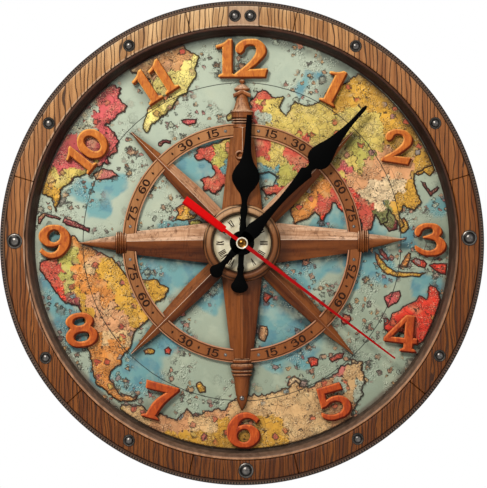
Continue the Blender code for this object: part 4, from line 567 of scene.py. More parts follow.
def rivet(name, angle, washered):
    """A domed rivet head on its flange, on a ring washer at some places."""
    foot = "0,0 4.8,0 4.8,.4 4.3,.8 3.8,.85 3.4,.4" if washered else "0,0 3.7,0 3.7,.35 3.35,.7 2.8,.35"
    wide, dome = (4.8 * MM, 3.0 * MM) if washered else (3.7 * MM, 2.55 * MM)
    floor, rise = RIM_FRONT - 0.05 * MM, 1.65 * MM
    base = floor + 0.5 * MM
    profile = mm(foot, floor) + [
        (dome * math.cos(math.radians(a)), base + rise * math.sin(math.radians(a))) for a in range(0, 90, 11)]
    centre = around(RIVET_CIRCLE, 0, angle)
    made = turned(name, profile + [(0, base + rise)], 40, (centre.x, centre.z), 40.0)
    return by_point(made, "away", lambda co: math.hypot(co.x - centre.x, co.z - centre.z) / wide)


for number, (start, end) in enumerate(zip(JOINTS, JOINTS[1:] + (JOINTS[0] + 360,)), 1):
    node = f"rim_stave_{number}"
    dressed(stave(number, start, end), rim_wood, [node])
    heads = [
        rivet(f"rivet_{rank}", angle, rank in WASHERED)
        for rank, angle in enumerate(RIVETS) if start < angle < end or start < angle + 360 < end
    ]
    if heads:
        dressed(merged(f"rivets_{number}", heads), rivet_metal, [node])

hoop_iron, shader, place = new_material("hoop_iron")
x, y, z = place.axes()
radius = place.length()
milled = (x.math("ARCTAN2", z) * 84.0).waves() * 2.0
band = radius.between(0.1478, 0.1483) * radius.between(0.1496, 0.1492)
patina = place.noise(260.0, 4.0, 0.6)
base = patina.between(0.3, 0.75).blend(rgb(36, 25, 18), rgb(66, 46, 33))
base = (band * 0.7).blend(base, rgb(112, 90, 74))
colour = (band * milled.between(0.75, 0.35)).blend(base, rgb(14, 10, 8))
# Painted light on the lip inside the hoop: paler toward the top left, darker toward the bottom right.
lip = radius.between(0.1485, 0.1480) * y.between(-0.0285, -0.0290)
lip_light_and_shade = (z - x * 0.7).between(-0.16, 0.16).blend(rgb(74, 48, 34), rgb(98, 74, 56))
colour = (lip * 0.85).blend(colour, lip_light_and_shade)
feed(shader, colour=colour, metal=0.15, rough=patina * 0.3 + 0.5, specular=0.3,
     normal=(milled * band * 0.8 + patina * 0.3).bumped(0.3, 0.4 * MM))
hoop = turned("hoop", mm(
    "147.2,.8 149.6,.8 150,1.2 150,29.4 149.85,29.9 149.5,30.25 149,30.4 148.3,30.4 148.1,30 147.7,30 "
    "147.2,30.3"), 360)
dressed(hoop, hoop_iron, ["outer_hoop"])


moulding_wood, shader, place = new_material("moulding_wood")
x, y, z = place.axes()
radius = place.length() + (place.noise(140.0, 3.0) - 0.5) * 0.0008
# Painted light and shade: the crest, the slope and the foot are dark at the top and paler at the bottom.
low = z.between(0.05, -0.09)
crest = low.blend(rgb(66, 34, 14), rgb(166, 122, 90))
slope = low.blend(rgb(38, 23, 17), rgb(108, 84, 68))
foot = low.blend(rgb(52, 33, 26), rgb(74, 59, 48))
colour = radius.between(0.1333, 0.1326).blend(crest, slope)
colour = radius.between(0.1310, 0.1302).blend(colour, foot)
wear = place.stretched(1.0, 1.0, 0.4).noise(320.0, 4.0, 0.6)
colour = colour.times(wear.between(0.30, 0.70).blend((0.68, 0.64, 0.60, 1), (1.15, 1.15, 1.15, 1)))
feed(shader, colour=colour, rough=wear * 0.2 + 0.45, specular=0.2, normal=wear.bumped(0.25, 0.3 * MM))
moulding = turned("moulding", mm(
    "131.3,16.5 134.3,16.5 134.3,29.7 134.1,30.1 133.8,30.2 133,30.2 132.6,30 132.3,29.5 131.9,28.2 "
    "131.2,26.6 130.6,25.2 130.3,24.8 130.2,24 129.5,22.6 129,21.6 129,20.8 131.3,20.8"), 240)
dressed(moulding, moulding_wood, ["inner_moulding"])
print("rim ready")

# %% [markdown]
# ## The compass rose
#
# Arms and points are lofted from the outlines across them. Each face keeps its crisp edges, and an
# attribute tints the faces by how far they look up and to the left, as they are lit in the photograph.

# %%
RELIEF = 22.3 * MM
RING_IN, RING_OUT = 66.0 * MM, 74.5 * MM
ARM_END = 71.6 * MM
HUB_OUT = 24.0 * MM


def across(along, half_width, height, is_round, edge=1.4 * MM, shift=0.0, ridge=0.0, rib=0.0):
    """One outline across an arm: half a round, or a ridge between thin edges, with or without a rib."""
    if is_round:
        turns = [math.radians(step * 180 / 14) for step in range(15)]
        points = [(-half_width * math.cos(turn), height * math.sin(turn)) for turn in turns]
    else:
        edge = min(edge, height / 2)
        eased = min(0.35 * MM, half_width / 8)
        crown = min(0.25 * MM, half_width / 8)
        low = height - rib * 0.35
        points = [
            (-half_width, 0), (-half_width, edge - eased / 2), (-half_width + eased, edge + eased / 2),
            ((ridge - half_width) * 0.66, edge + (low - edge) * 0.34),
            ((ridge - half_width) * 0.33, edge + (low - edge) * 0.67),
            (ridge - crown - rib, low - crown * 0.5), (ridge - crown - rib * 0.8, height - crown * 0.4),
            (ridge, height),
            (ridge + crown + rib * 0.8, height - crown * 0.4), (ridge + crown + rib, low - crown * 0.5),
            ((ridge + half_width) * 0.33, edge + (low - edge) * 0.67),
            ((ridge + half_width) * 0.66, edge + (low - edge) * 0.34),
            (half_width - eased, edge + eased / 2), (half_width, edge - eased / 2), (half_width, 0),
        ]
    return [(x + shift, -RELIEF - max(rise, 0), along) for x, rise in points]


def under_ring(piece):
    """Cuts the inner end to the hub ring and the underside to the compass ring."""
    for name, inner, outer, top in (
            ("hub", 0, HUB_OUT + SEAT / 3, 12 * MM), ("ring", RING_IN - SEAT, RING_OUT + SEAT, 2.45 * MM)):
        low, high = RELIEF - 2 * MM, RELIEF + top
        profile = [(inner, low), (outer, low), (outer, high), (inner, high)]
        tool = turned(name, profile, 128)
        cut = piece.modifiers.new("cut", "BOOLEAN")
        cut.operation = "DIFFERENCE"
        cut.object = tool
        bpy.context.view_layer.update()
        mesh = bpy.data.meshes.new_from_object(piece.evaluated_get(bpy.context.evaluated_depsgraph_get()))
        piece.modifiers.clear()
        piece.data = mesh
        bpy.data.objects.remove(tool)
    piece.data.shade_smooth()
    piece.data.set_sharp_from_angle(angle=math.radians(24))
    return piece


def mark_faces(piece, fade=0.0, dim=0.0):
    """Stores each face's painted light: how far it looks up and to the left, less toward a fading tip."""
    def lit(face):
        value = 0.5 + 0.5 * face.normal.z - 0.06 * face.normal.x - 0.2 * (1 - abs(face.normal.y))
        reach = math.hypot(face.center.x, face.center.z)
        return value - (dim + fade * clamped((reach - 58 * MM) / (24 * MM)))
    return by_face(piece, lit)


def mark_lines(piece, crests=lambda along: (), grooves=(), painted_light=1.0):
    """Stores the painted light on a crest, -1 in a groove for painted shade, and each point's place while the
    piece still points up.
    """
    def crown(co):
        if any(abs(co.x - crest) < 0.08 * MM for crest in crests(co.z)):
            return painted_light
        return -1.0 if any(abs(co.z - groove) < 0.06 * MM for groove in grooves) else 0.0
    by_point(piece, "crown", crown)
    run = piece.data.attributes.new("run", "FLOAT_VECTOR", "POINT")
    run.data.foreach_set("vector", [part for vert in piece.data.vertices for part in vert.co])
    return piece


def beads(start, length, half):
    """A turned collar: fine beads between two wider ones, as (along, half width)."""
    stations = [(0.0, 0.80), (0.02, 0.92), (0.12, 0.95), (0.15, 0.84), (0.19, 0.82)]
    for low, high, wide in ((0.21, 0.40, 0.98), (0.43, 0.62, 1.0), (0.65, 0.80, 0.94)):
        for step in range(6):
            turn = math.radians(180 * step / 5)
            stations.append((low + (high - low) * step / 5, wide - 0.12 + 0.12 * math.sin(turn)))
    stations += [(0.82, 0.84), (0.86, 0.93), (0.96, 0.90), (1.0, 0.78)]
    return [(start + share * length, half * wide) for share, wide in stations]


def arm(name, angle, end_stations, ridge=0.0, lift=0.0, rib=0.0, collar=None):
    """A cardinal arm with its collar and turned end."""
    collar = collar or beads(ARM_END + SEAT, 6.6 * MM, 7.4 * MM)
    start, steps = 17.0 * MM, 10
    loops = []
    for step in range(steps + 1):
        share = step / steps
        along = start + (ARM_END - start) * share
        half = (13.0 - 6.4 * share) * MM
        high = (7.4 - 1.6 * share) * MM
        narrowing = 1 - share / 2
        aside = lift * 0.4 * share
        loops.append(across(along, half, high, False, 1.4 * MM, aside, ridge * narrowing, rib * narrowing))
    shifted = [(along, half, lift * 0.4) for along, half in collar]
    shifted += [(along, half, lift * (0.4 + 0.6 * rank / (len(end_stations) - 1)))
                for rank, (along, half) in enumerate(end_stations)]
    loops += [across(along, half, half * 0.85, True, shift=shift) for along, half, shift in shifted]
    made = under_ring(loft(name, loops))

    def crests(along):
        if along > ARM_END:
            return ()
        share = (along - start) / (ARM_END - start)
        middle = lift * 0.4 * share + ridge * (1 - share / 2)
        aside = rib * (1 - share / 2) * 0.8 + 0.25 * MM
        return (middle - aside, middle + aside) if rib else (middle,)

    widest = max(half for along, half in collar)
    mark_lines(made, crests, [along for along, half in collar if half < 0.83 * widest], -0.55 if rib else 1.0)
    set_down(made, clockwise=angle)
    return mark_faces(made)


def cone(start, tip, half):
    """Stations of a slightly swelling cone."""
    return [
        (start + (tip - start) * share,
         max(half * ((1 - share) + 0.06 * math.sin(math.pi * share)), 0.4 * MM))
        for share in (0.0, 0.1, 0.25, 0.45, 0.65, 0.85, 0.95, 1.0)
    ]


def rose_tint(place, colour):
    """Painted light: pale tan on the faces that look up, deep red brown on those that look down, painted
    shade near the hub and in the grooves, and a painted highlight along the ridge line.
    """
    lit = attribute(place, "lit")
    x, y, z = place.axes()
    base = lit.painted(".22,92,46,18 .42,112,63,32 .56,152,98,58 .68,198,158,124 .8,222,188,158")
    # Painted light: the rose is painted darker toward the bottom.
    height = z.between(-0.07, 0.04).blend((0.76, 0.66, 0.58, 1), (1.08, 1.06, 1.04, 1))
    colour = base.times(colour).times(height)
    colour = (place.noise(260.0, 4.0).between(0.56, 0.66) * 0.40).blend(colour, rgb(74, 42, 26))
    run = attribute(place, "run", "Vector").warped(60.0, 0.002)
    streak = run.stretched(1.0, 1.0, 0.06).noise(640.0, 3.0, 0.6)
    colour = colour.times(streak.between(0.34, 0.62).blend((0.74, 0.66, 0.60, 1), (1.12, 1.13, 1.16, 1)))
    scratch = run.stretched(1.0, 1.0, 0.09).noise(330.0, 2.0)
    cracks = (scratch * 6.0).waves().between(0.06, 0.015) * run.noise(75.0, 1.0).between(0.46, 0.56)
    colour = (cracks * 0.75).blend(colour, rgb(60, 32, 20))
    glow = run.stretched(1.0, 1.0, 0.22).noise(85.0, 2.0).between(0.46, 0.66) * lit.between(0.60, 0.48)
    colour = (glow * 0.40).blend(colour, rgb(160, 90, 40))
    # Painted shade near the hub, on its lower side.
    corner = place.length().between(0.037, 0.0245) * (x * 0.4 - z).between(-0.03, 0.02)
    colour = (corner * 0.72).blend(colour, rgb(36, 20, 12))
    # Painted shade in the grooves and a painted highlight along the crests.
    crown = attribute(place, "crown")
    colour = (crown.between(-0.2, -0.8) * 0.8).blend(colour, rgb(40, 22, 14))
    return (crown.between(0.25, 1.0) * 0.85).blend(colour, rgb(238, 212, 186))


rose_wood = wood(
    "rose_wood", rgb(120, 92, 78), rgb(226, 218, 210), rgb(252, 250, 248),
    300.0, 7.0, 0.45, 0.36, 0.3, rose_tint)
# Collars and ends: distance from the centre and half width.
north_collar = mm(
    "72,6.2 73.7,6.2 73.9,5.5 74.5,5.5 74.7,6.5 75,6.8 75.4,6.5 75.6,5.3 76.1,5.3 76.3,6.5 76.6,6.8 77,6.5 "
    "77.2,5.3 77.7,5.3 77.9,6.4 78.2,6.6 79.6,6.6 81,6.7 81.3,7 81.7,7.1 82,6.8 82.3,6")
north_end = mm(
    "83.4,5.4 85.2,4.7 87.5,4 90,3.4 92.5,3.1 94.4,3 94.6,3.9 94.9,4.7 95.5,5 96.1,4.9 96.5,4.3 97.1,3.7 "
    "97.9,2.9 98.5,1.8 98.8,.9")
north_tip, ball = 102.2 * MM, 1.65 * MM
north_end += [
    (north_tip - ball - ball * math.cos(turn), max(ball * math.sin(turn), 0.3 * MM))
    for turn in map(math.radians, range(28, 180, 19))]
south_collar = mm(
    "72,5.7 72.3,5.6 72.6,6.2 73.1,6.5 73.9,6.5 74.3,6.2 74.5,5.5 75,5.5 75.3,6.4 75.9,7 76.8,7.3 77.7,7.2 "
    "78.4,6.7 78.7,5.7 79.1,5.7 79.3,6.4 79.7,6.8 80.3,6.7 80.6,6.2 80.8,5.5 81.3,5.5 81.6,6.1 82.1,6.3 "
    "82.6,6.1 82.9,5.5")
south_end = mm("83.4,5.3 84.6,5 88,4.7 92,4.2 95,3.7 95.3,3.3 96.6,3.3 98.2,3.1 100.4,2.2 102.4,1.2 104,.4")
plain_end = cone(ARM_END + SEAT + 6.6 * MM + SEAT, 101.2 * MM, 4.6 * MM)
for side, angle, stations, shape in (
        ("north", 0, north_end, {"ridge": 0.5 * MM, "collar": north_collar}),
        ("east", 90, plain_end, {"ridge": -2.1 * MM, "lift": -2.6 * MM}),
        ("south", 180, south_end, {"rib": 1.15 * MM, "collar": south_collar}),
        ("west", 270, plain_end, {"ridge": 2.1 * MM})):
    dressed(arm(f"rose_{side}", angle, stations, **shape), rose_wood, [f"arm_{side}"])

# The points: distance from the centre and half width in mm.
POINT_SHAPE = numbers("18.3,5.6 26,5.75 36,5.9 45.2,5.8 54,5.2 64,4.5 74.5,3.6 83,2.35 91,1.2 97.5,.4")
# For each point: name, clock angle, the strength of the painted highlight on its crest, and how much darker
# its painted light is.
for name, angle, painted_light, dim in (
        ("ne", 45, 1.0, 0.02), ("se", 135, 0.5, 0.12), ("sw", 225, 1.0, 0.16), ("nw", 315, 1.0, 0.02)):
    loops = []
    for along, half in POINT_SHAPE:
        share = (along - POINT_SHAPE[0][0]) / (POINT_SHAPE[-1][0] - POINT_SHAPE[0][0])
        loops.append(across(along * MM, half * MM, (6.2 - 4.6 * share) * MM, False, 0.8 * MM))
    point = mark_lines(under_ring(loft(f"rose_{name}", loops)), lambda along: (0.0,), painted_light=painted_light)
    dressed(mark_faces(set_down(point, clockwise=angle), 0.16, dim), rose_wood,
            [f"point_{name}"])
boss_shape = mm("1.5,5.6 2.9,5 2.9,6.9 2.6,7.4 2.1,7.5 1.7,7.2 1.5,6.7", RELIEF)
boss = turned("boss", boss_shape, 40, (-1.5 * MM, 54.5 * MM))
chevron = [(x, z, "c") for x, z in mm("-5.6,92.7 0,95.4 5.6,92.7 5.3,90.2 0,92.9 -5.3,90.2")]
folded = cut_plate("chevron", [chevron], RELIEF, RELIEF + 4.0 * MM, 0.6 * MM)
for piece in (boss, folded):
    dressed(mark_faces(mark_lines(piece)), rose_wood, ["arm_north"])
gem = turned("gem", mm("0,2.4 1.5,2.4 1.45,3.2 1.1,3.7 .5,3.9 0,3.95", RELIEF), 32, (0, -96.4 * MM))
dressed(gem, rivet_metal, ["arm_south"])
print("rose ready")

# %% [markdown]
# ## Ring, hub and little dial
#
# The degree ring carries a figure every fifteen degrees, short division lines and the pins that hold it.

# %%
# The width and the outlines of each digit, for a height of 1.
DIGITS = {
    "0": (.86, (
        ".43,1 .1,.83 0,.5 .1,.17 .43,0 .76,.17 .86,.5 .76,.83",
        ".43,.8 .24,.5 .43,.2 .62,.5")),
    "1": (.52, (
        ".42,1c .42,.1c .52,.05c .52,0c .07,0c .07,.05c .17,.1c .17,.79c .09,.77 0,.76c 0,.83c .2,.9 "
        ".33,1c",)),
    "2": (.86, (
        "0,0c .8,0c .86,.23c .38,.2c .64,.42 .82,.7 .7,.93 .4,1 .12,.91 .02,.74 .1,.62 .22,.68 .28,.81 "
        ".4,.85 .53,.8 .56,.68 .44,.46 0,.08c",)),
    "3": (.96, (
        ".02,.66 .03,.82 .2,.96 .46,1 .74,.93 .84,.76 .76,.59c .92,.46 .96,.28 .82,.08 .52,0 .2,.05 "
        ".02,.21 .02,.33c .14,.26 .34,.17 .56,.18 .68,.3 .64,.43 .48,.51 .26,.54c .26,.59c .44,.64 "
        ".57,.73 .52,.84 .38,.86 .24,.79 .17,.66 .09,.6",)),
    "4": (.92, (
        ".56,1c .8,1c .8,.38c .92,.38c .92,.24c .8,.22c .8,.1c .9,.05c .9,0c .46,0c .46,.05c .56,.1c "
        ".56,.22c 0,.24c 0,.34c",
        ".2,.37c .56,.37c .56,.8c")),
    "5": (.93, (
        ".1,1c .8,1c .82,.79c .3,.8c .28,.61c .5,.66 .8,.57 .93,.33 .8,.08 .48,0 .16,.06 .03,.2 .05,.31c "
        ".22,.2 .46,.15 .65,.22 .7,.35 .6,.48 .42,.52 .22,.44 .08,.42c",)),
    "6": (.94, (
        ".92,.82c .74,.96 .46,1 .15,.82 0,.45 .12,.13 .46,0 .8,.1 .94,.36 .8,.59 .54,.66 .32,.6c .4,.77 "
        ".56,.84 .72,.8 .84,.7c",
        ".48,.53 .29,.34 .48,.15 .67,.34")),
    "7": (.94, (
        ".02,1c .94,1c .94,.92c .64,.48 .5,.1c .6,.05c .6,0c .12,0c .12,.05c .24,.1c .38,.5 .62,.79c "
        ".05,.77c",)),
    "8": (.92, (
        ".45,1 .15,.92 .05,.74 .16,.57c .02,.42 .01,.24 .15,.06 .46,0 .78,.06 .92,.24 .91,.42 .77,.57c "
        ".86,.74 .76,.92",
        ".45,.87 .26,.75 .45,.62 .65,.75",
        ".46,.44 .23,.29 .46,.15 .7,.29")),
}
DIGITS = {digit: (wide, [knots(line) for line in lines]) for digit, (wide, lines) in DIGITS.items()}
DIGITS["9"] = (0.94, [[(0.94 - x, 1 - z, kind) for x, z, kind in line] for line in DIGITS["6"][1]])


def figures(name, text, height, back, front, rounding, overlap=0.0, steps=6, soft=2):
    """A number cut from sheet, centred on its own middle."""
    width = sum(DIGITS[digit][0] for digit in text) - overlap * (len(text) - 1)
    left = -width / 2
    parts = []
    for digit in text:
        wide, outlines = DIGITS[digit]
        placed = [[((left + x) * height, (z - 0.5) * height, kind) for x, z, kind in line]
                  for line in outlines]
        parts.append(cut_plate(name, placed, back, front, rounding, steps, soft))
        left += wide - overlap
    return merged(name, parts)


RING_TOP = RELIEF + 2.2 * MM


def ring_tint(place, colour):
    """Dark ink along the ring's two edge lines, a painted highlight along both edges, and painted light: a
    lighter top left.
    """
    x, y, z = place.axes()
    ragged = place.length() + (place.noise(300.0, 2.0) - 0.5) * 0.0004
    lines = ragged.off(0.0672).between(0.00045, 0.00012) + ragged.off(0.0734).between(0.00045, 0.00012)
    base = ((z - x * 0.8) * 5.0 + 0.5).painted("0,134,76,35 .35,136,80,40 .7,152,100,58 1,174,120,74")
    # A painted highlight along the ring's inner and outer edges.
    painted_light = ragged.between(0.06675, 0.06650) + ragged.between(0.07385, 0.07410)
    colour = (painted_light * 0.5).blend(base.times(colour), rgb(214, 164, 132))
    return (lines * 0.8).blend(colour, rgb(58, 30, 16))


ring_wood = wood(
    "ring_wood", rgb(130, 100, 80), rgb(226, 218, 208), rgb(252, 250, 246),
    380.0, 7.0, 0.35, 0.45, 0.2, ring_tint)
ring = turned("degree_ring", mm(
    "66,22.3 74.5,22.3 74.5,24 74.35,24.35 74,24.5 73.6,24.5 73.35,24.2 73.1,24.4 67.6,24.4 67.35,24.2 "
    "67.1,24.5 66.5,24.5 66.15,24.35 66,24"), 240)
dressed(ring, ring_wood, ["compass_ring"])

ink, shader, place = new_material("ring_ink")
colour = place.noise(900.0, 2.0).between(0.3, 0.7).blend(rgb(26, 13, 7), rgb(56, 31, 17))
feed(shader, colour=colour, rough=0.7, specular=0.1)
MIDDLE = (RING_IN + RING_OUT) / 2
MARK = (RING_TOP - 0.25 * MM, RING_TOP - 0.02 * MM, 0.05 * MM)
DIAMOND = [(x, z, "c") for x, z in mm("-.75,0 0,-1.2 .75,0 0,1.2")]


def on_ring(piece, angle, reach, flip=0):
    """Moves a piece out to a clock angle and turns it along."""
    spot = around(reach, 0, angle)
    return set_down(piece, spot.x, spot.z, angle + flip)


marks, pins = [], []
for quarter in range(4):
    for degrees in (15, 30, 60, 75):
        angle = 90 * quarter + degrees
        label = degrees if quarter % 2 == 0 else 90 - degrees
        mark = figures("mark", str(label), 4.9 * MM, *MARK, -0.12, 3, 1)
        marks.append(on_ring(mark, angle, MIDDLE, 180 if 90 < angle < 270 else 0))
    for degrees in (22.5, 38.0, 52.0, 67.5):
        marks.append(on_ring(cut_plate("mark", [DIAMOND], *MARK, 1, 1), 90 * quarter + degrees, MIDDLE))
    for side in (-8.4, 8.4):
        spot = around(MIDDLE, 0, 90 * quarter + side)
        profile = mm("0,0 1,0 .95,.3 .6,.6 0,.7", RING_TOP - 0.15 * MM)
        pins.append(turned("pin", profile, 24, (spot.x, spot.z)))
dressed(merged("ring_marks", marks), ink, ["compass_ring"])
dressed(merged("ring_pins", pins), rivet_metal, ["compass_ring"])

HUB_RISE = 6.6 * MM
hub_shape = numbers(
    "18.3,0 18.3,.62 18.6,.74 19.2,.8 19.3,.9 19.8,.97 20.6,1 21.5,.97 22.2,.88 22.5,.78 22.65,.66 23.1,.64 "
    "23.6,.6 24,.5 24,0")
hub = turned("hub", [(radius * MM, RELIEF + share * HUB_RISE) for radius, share in hub_shape], 160)


def hub_tint(place, colour):
    """Painted light, paler at the top left, and painted shade, dark in the grooves."""
    x, y, z = place.axes()
    radius = place.length()
    base = ((z - x * 0.25) * 16.0 + 0.5).painted("0,96,54,26 .5,130,82,48 .8,188,147,108 1,220,186,148")
    groove = radius.off(0.02265).between(0.0006, 0.0001) + radius.between(0.0198, 0.0190)
    return (groove * 0.85).blend(base.times(colour), rgb(46, 24, 14))


hub_wood = wood(
    "hub_wood", rgb(130, 100, 80), rgb(226, 218, 208), rgb(252, 250, 246),
    300.0, 6.0, 0.35, 0.34, 0.2, hub_tint)
dressed(hub, hub_wood, ["hub_ring"])

HUB_DIAL = RELIEF + 1.8 * MM
hub_dial = turned("little_dial", mm("4.5,22.3 18,22.3 18,23.9 17.8,24.1 4.7,24.1 4.5,23.9"), 128)
cream, shader, place = new_material("little_dial_cream")
radius = place.length()
spots = place.noise(300.0, 4.0, 0.6)
edge = (radius + spots * 0.003).between(0.0160, 0.0195)
colour = edge.blend(spots.between(0.35, 0.7).blend(rgb(206, 196, 162), rgb(226, 220, 192)), rgb(150, 132, 98))
feed(shader, colour=colour, rough=0.55, normal=spots.bumped(0.2, 0.2 * MM))
dressed(hub_dial, cream, ["hub_dial"])

ROMAN = "I II III IIII V VI VII VIII IX X XI XII".split()
WIDTHS = {"I": 0.95 * MM, "V": 1.9 * MM, "X": 1.9 * MM}
THICK, THIN, LETTER = 0.62 * MM, 0.34 * MM, 4.7 * MM


def stroke(start, end, wide):
    """A thin straight bar between two points of a plane."""
    (x0, z0), (x1, z1) = start, end
    long = math.hypot(x1 - x0, z1 - z0)
    nx, nz = (z1 - z0) / long * wide / 2, -(x1 - x0) / long * wide / 2
    line = [(x0 - nx, z0 - nz, "c"), (x0 + nx, z0 + nz, "c"), (x1 + nx, z1 + nz, "c"),
            (x1 - nx, z1 - nz, "c")]
    return cut_plate("stroke", [line], HUB_DIAL - 0.05 * MM, HUB_DIAL + 0.10 * MM, 0.03 * MM, 1, 1)


def letter_bars(letter, left):
    """The start, end and width of each bar of a roman letter."""
    right = left + WIDTHS[letter]
    middle, low, high = (left + right) / 2, -LETTER / 2, LETTER / 2
    left, right = left + 0.3 * MM, right - 0.3 * MM
    return {
        "I": [((middle, low), (middle, high), THICK)],
        "V": [((left, high), (middle, low), THICK), ((right, high), (middle, low), THIN)],
        "X": [((left, high), (right, low), THICK), ((right, high), (left, low), THIN)],
    }[letter]


strokes = []
for hour, text in enumerate(ROMAN, 1):
    left = -sum(WIDTHS[letter] for letter in text) / 2
    bars = []
    for letter in text:
        bars += [stroke(*bar) for bar in letter_bars(letter, left)]
        left += WIDTHS[letter]
    strokes.append(on_ring(merged("roman", bars), hour * 30, 13.6 * MM))
dressed(merged("little_figures", strokes), ink, ["hub_dial"])
print("ring and hub ready")

# %% [markdown]
# ## Numerals
#
# Cut figures with rounded edges, in three layers: the orange face, a pale edge that shows at its top
# left as a painted highlight, and a dark foot at its bottom right as painted shade. The sides are
# painted dark red brown as shade.

# %%
NUMERAL_FRONT = RELIEF + 4.0 * MM
# For each hour: clock angle, share of the dial's radius, lean in degrees, share of the full height.
PLACES = {
    1: (30.4, 0.873, 27.0, 1.04), 2: (58.3, 0.884, 9.0, 0.96), 3: (89.0, 0.907, 0.0, 0.92),
    4: (119.5, 0.881, 5.0, 1.03), 5: (150.1, 0.885, -17.0, 0.98), 6: (179.5, 0.902, 0.0, 0.99),
    7: (207.8, 0.864, 15.0, 1.03), 8: (241.6, 0.881, -8.0, 0.96), 9: (270.4, 0.902, 0.0, 0.94),
    10: (301.1, 0.867, -51.0, 0.90), 11: (331.4, 0.883, -33.0, 1.00), 12: (0.0, 0.889, 0.0, 1.08),
}
DIAL = 129.0 * MM


def toned(piece, tone=None):
    """Stores each face's painted light: by its slope, or one tone; the sides get painted shade."""
    def lit(face):
        across_face, out, up = face.normal
        if abs(out) <= 0.35:
            return 0.0
        return 0.5 + 0.5 * up - 0.32 * across_face if tone is None else tone
    return by_face(piece, lit)


orange, shader, place = new_material("numeral_orange")
x, y, z = place.axes()
paint = place.noise(260.0, 4.0, 0.6)
streak = place.warped(90.0, 0.004).stretched(1.0, 1.0, 0.22).noise(620.0, 3.0, 0.6)
# Painted light: the numerals are painted lighter toward the top and darker and redder toward the bottom.
numeral_light = (z + x * -0.25).between(-0.12, 0.13)
base = numeral_light.blend(rgb(166, 64, 20), rgb(190, 108, 38))
base = (paint.between(0.42, 0.70) * 0.55).blend(base, numeral_light.blend(rgb(128, 46, 18), rgb(158, 80, 28)))
base = (streak.between(0.56, 0.70) * 0.45).blend(base, numeral_light.blend(rgb(214, 104, 40), rgb(228, 150, 68)))
base = (streak.between(0.46, 0.36) * 0.6).blend(base, numeral_light.blend(rgb(120, 34, 20), rgb(144, 58, 24)))
# Painted light: each face is tinted by its slope, the pale edge brightened as a highlight, the foot and the
# sides darkened as shade.
lit = attribute(place, "lit")
colour = base.times(lit.ramp(
    (0.16, (0.30, 0.20, 0.18, 1)), (0.42, (0.60, 0.46, 0.42, 1)), (0.49, (1, 1, 1, 1)),
    (0.60, (1.25, 1.45, 1.7, 1)),
    (0.85, (1.6, 2.6, 4.4, 1))))
feed(shader, colour=colour, rough=paint * 0.2 + 0.42, specular=0.14,
     normal=(paint + streak * 0.5).bumped(0.4, 0.3 * MM))
# For each layer: name, back, front, rounding and its steps, shift to the lower right, tone of its painted
# light (the edge a painted highlight, the foot painted shade).
LAYERS = (
    ("face", RELIEF + 1.5 * MM, NUMERAL_FRONT, 0.70 * MM, 3, 0.0, None),
    ("edge", RELIEF + 1.0 * MM, NUMERAL_FRONT - 0.20 * MM, 0.35 * MM, 2, -0.32 * MM, 0.85),
    ("foot", RELIEF, NUMERAL_FRONT - 1.1 * MM, 0.35 * MM, 2, 0.55 * MM, 0.18),
)
for number, (angle, radius_share, lean, height_share) in PLACES.items():
    height = 22.0 * MM * height_share
    overlap = {10: 0.04, 11: -0.03, 12: 0.03}.get(number, 0)
    spot = around(radius_share * DIAL, 0, angle)
    layers = []
    for name, back, front, rounding, soft, aside, tone in LAYERS:
        layer = figures(name, str(number), height, back, front, rounding, overlap, 6, soft)
        layers.append(toned(set_down(layer, spot.x + aside, spot.z - aside, lean), tone))
    dressed(merged(f"figure_{number}", layers), orange, [f"numeral_{number}"])
print("numerals ready")

# %% [markdown]
# ## Hands
#
# Flat blades with a small eased edge, on their collets; the second hand's cap is a bright ring round a
# dark centre.

# %%
# For each hand: length, tail, half width, back and front in mm, clock angle at rest, body, half outline as
# shares of the length or tail and of the half width.
HANDS = {
    "hour_hand": (79.5, 32.6, 8.6, 30.6, 31.5, 3.3, "hour",
        "-.93,.35 -.84,.62 -.7,.38 -.56,.2 -.5,.25 -.42,.2c .115,.25c .19,.2 .25,.27 .31,.2 .38,.35 "
        ".44,.75 .505,1 .57,.86 .63,.52 .7,.32 .78,.25 .9,.22 1,.18c"),
    "minute_hand": (114.5, 28.0, 7.5, 32.4, 33.3, 42.3, "minute",
        "-.96,.28 -.85,.56 -.72,.38 -.62,.24 -.5,.22c .1,.64c .17,.4 .24,.29 .31,.26 .4,.34 .47,.46 "
        ".518,.58c .532,.36 .55,.29 .566,.42c .585,.8 .62,1 .66,.9 .72,.6 .8,.34 .88,.2 .975,.17c 1,.1c"),
    "second_hand": (118.5, 44.5, 2.6, 34.2, 34.8, 127.0, "second",
        "-1,1.06c -.31,.88c -.3,.4c .03,.46c .5,.35c 1,.2c"),
}
black, shader, place = new_material("hand_enamel")
dust = place.noise(700.0, 3.0)
colour = dust.blend((0.0002, 0.0002, 0.0002, 1), (0.0006, 0.0006, 0.0006, 1))
feed(shader, colour=colour, rough=dust * 0.1 + 0.6, specular=0.03)
red, shader, place = new_material("hand_red")
dust = place.noise(700.0, 3.0)
tail = attribute(place, "tail")
bright = tail.blend(rgb(156, 6, 10), rgb(204, 2, 2))
x, y, z = place.axes()
shady = (x * -0.602 - z * 0.799).between(1.3 * MM, 2.1 * MM) * tail
bright = (shady * 0.7).blend(bright, rgb(96, 4, 8))
feed(shader, colour=(dust * 0.3).blend(bright, rgb(120, 0, 4)), rough=dust * 0.1 + 0.55, specular=0.06)
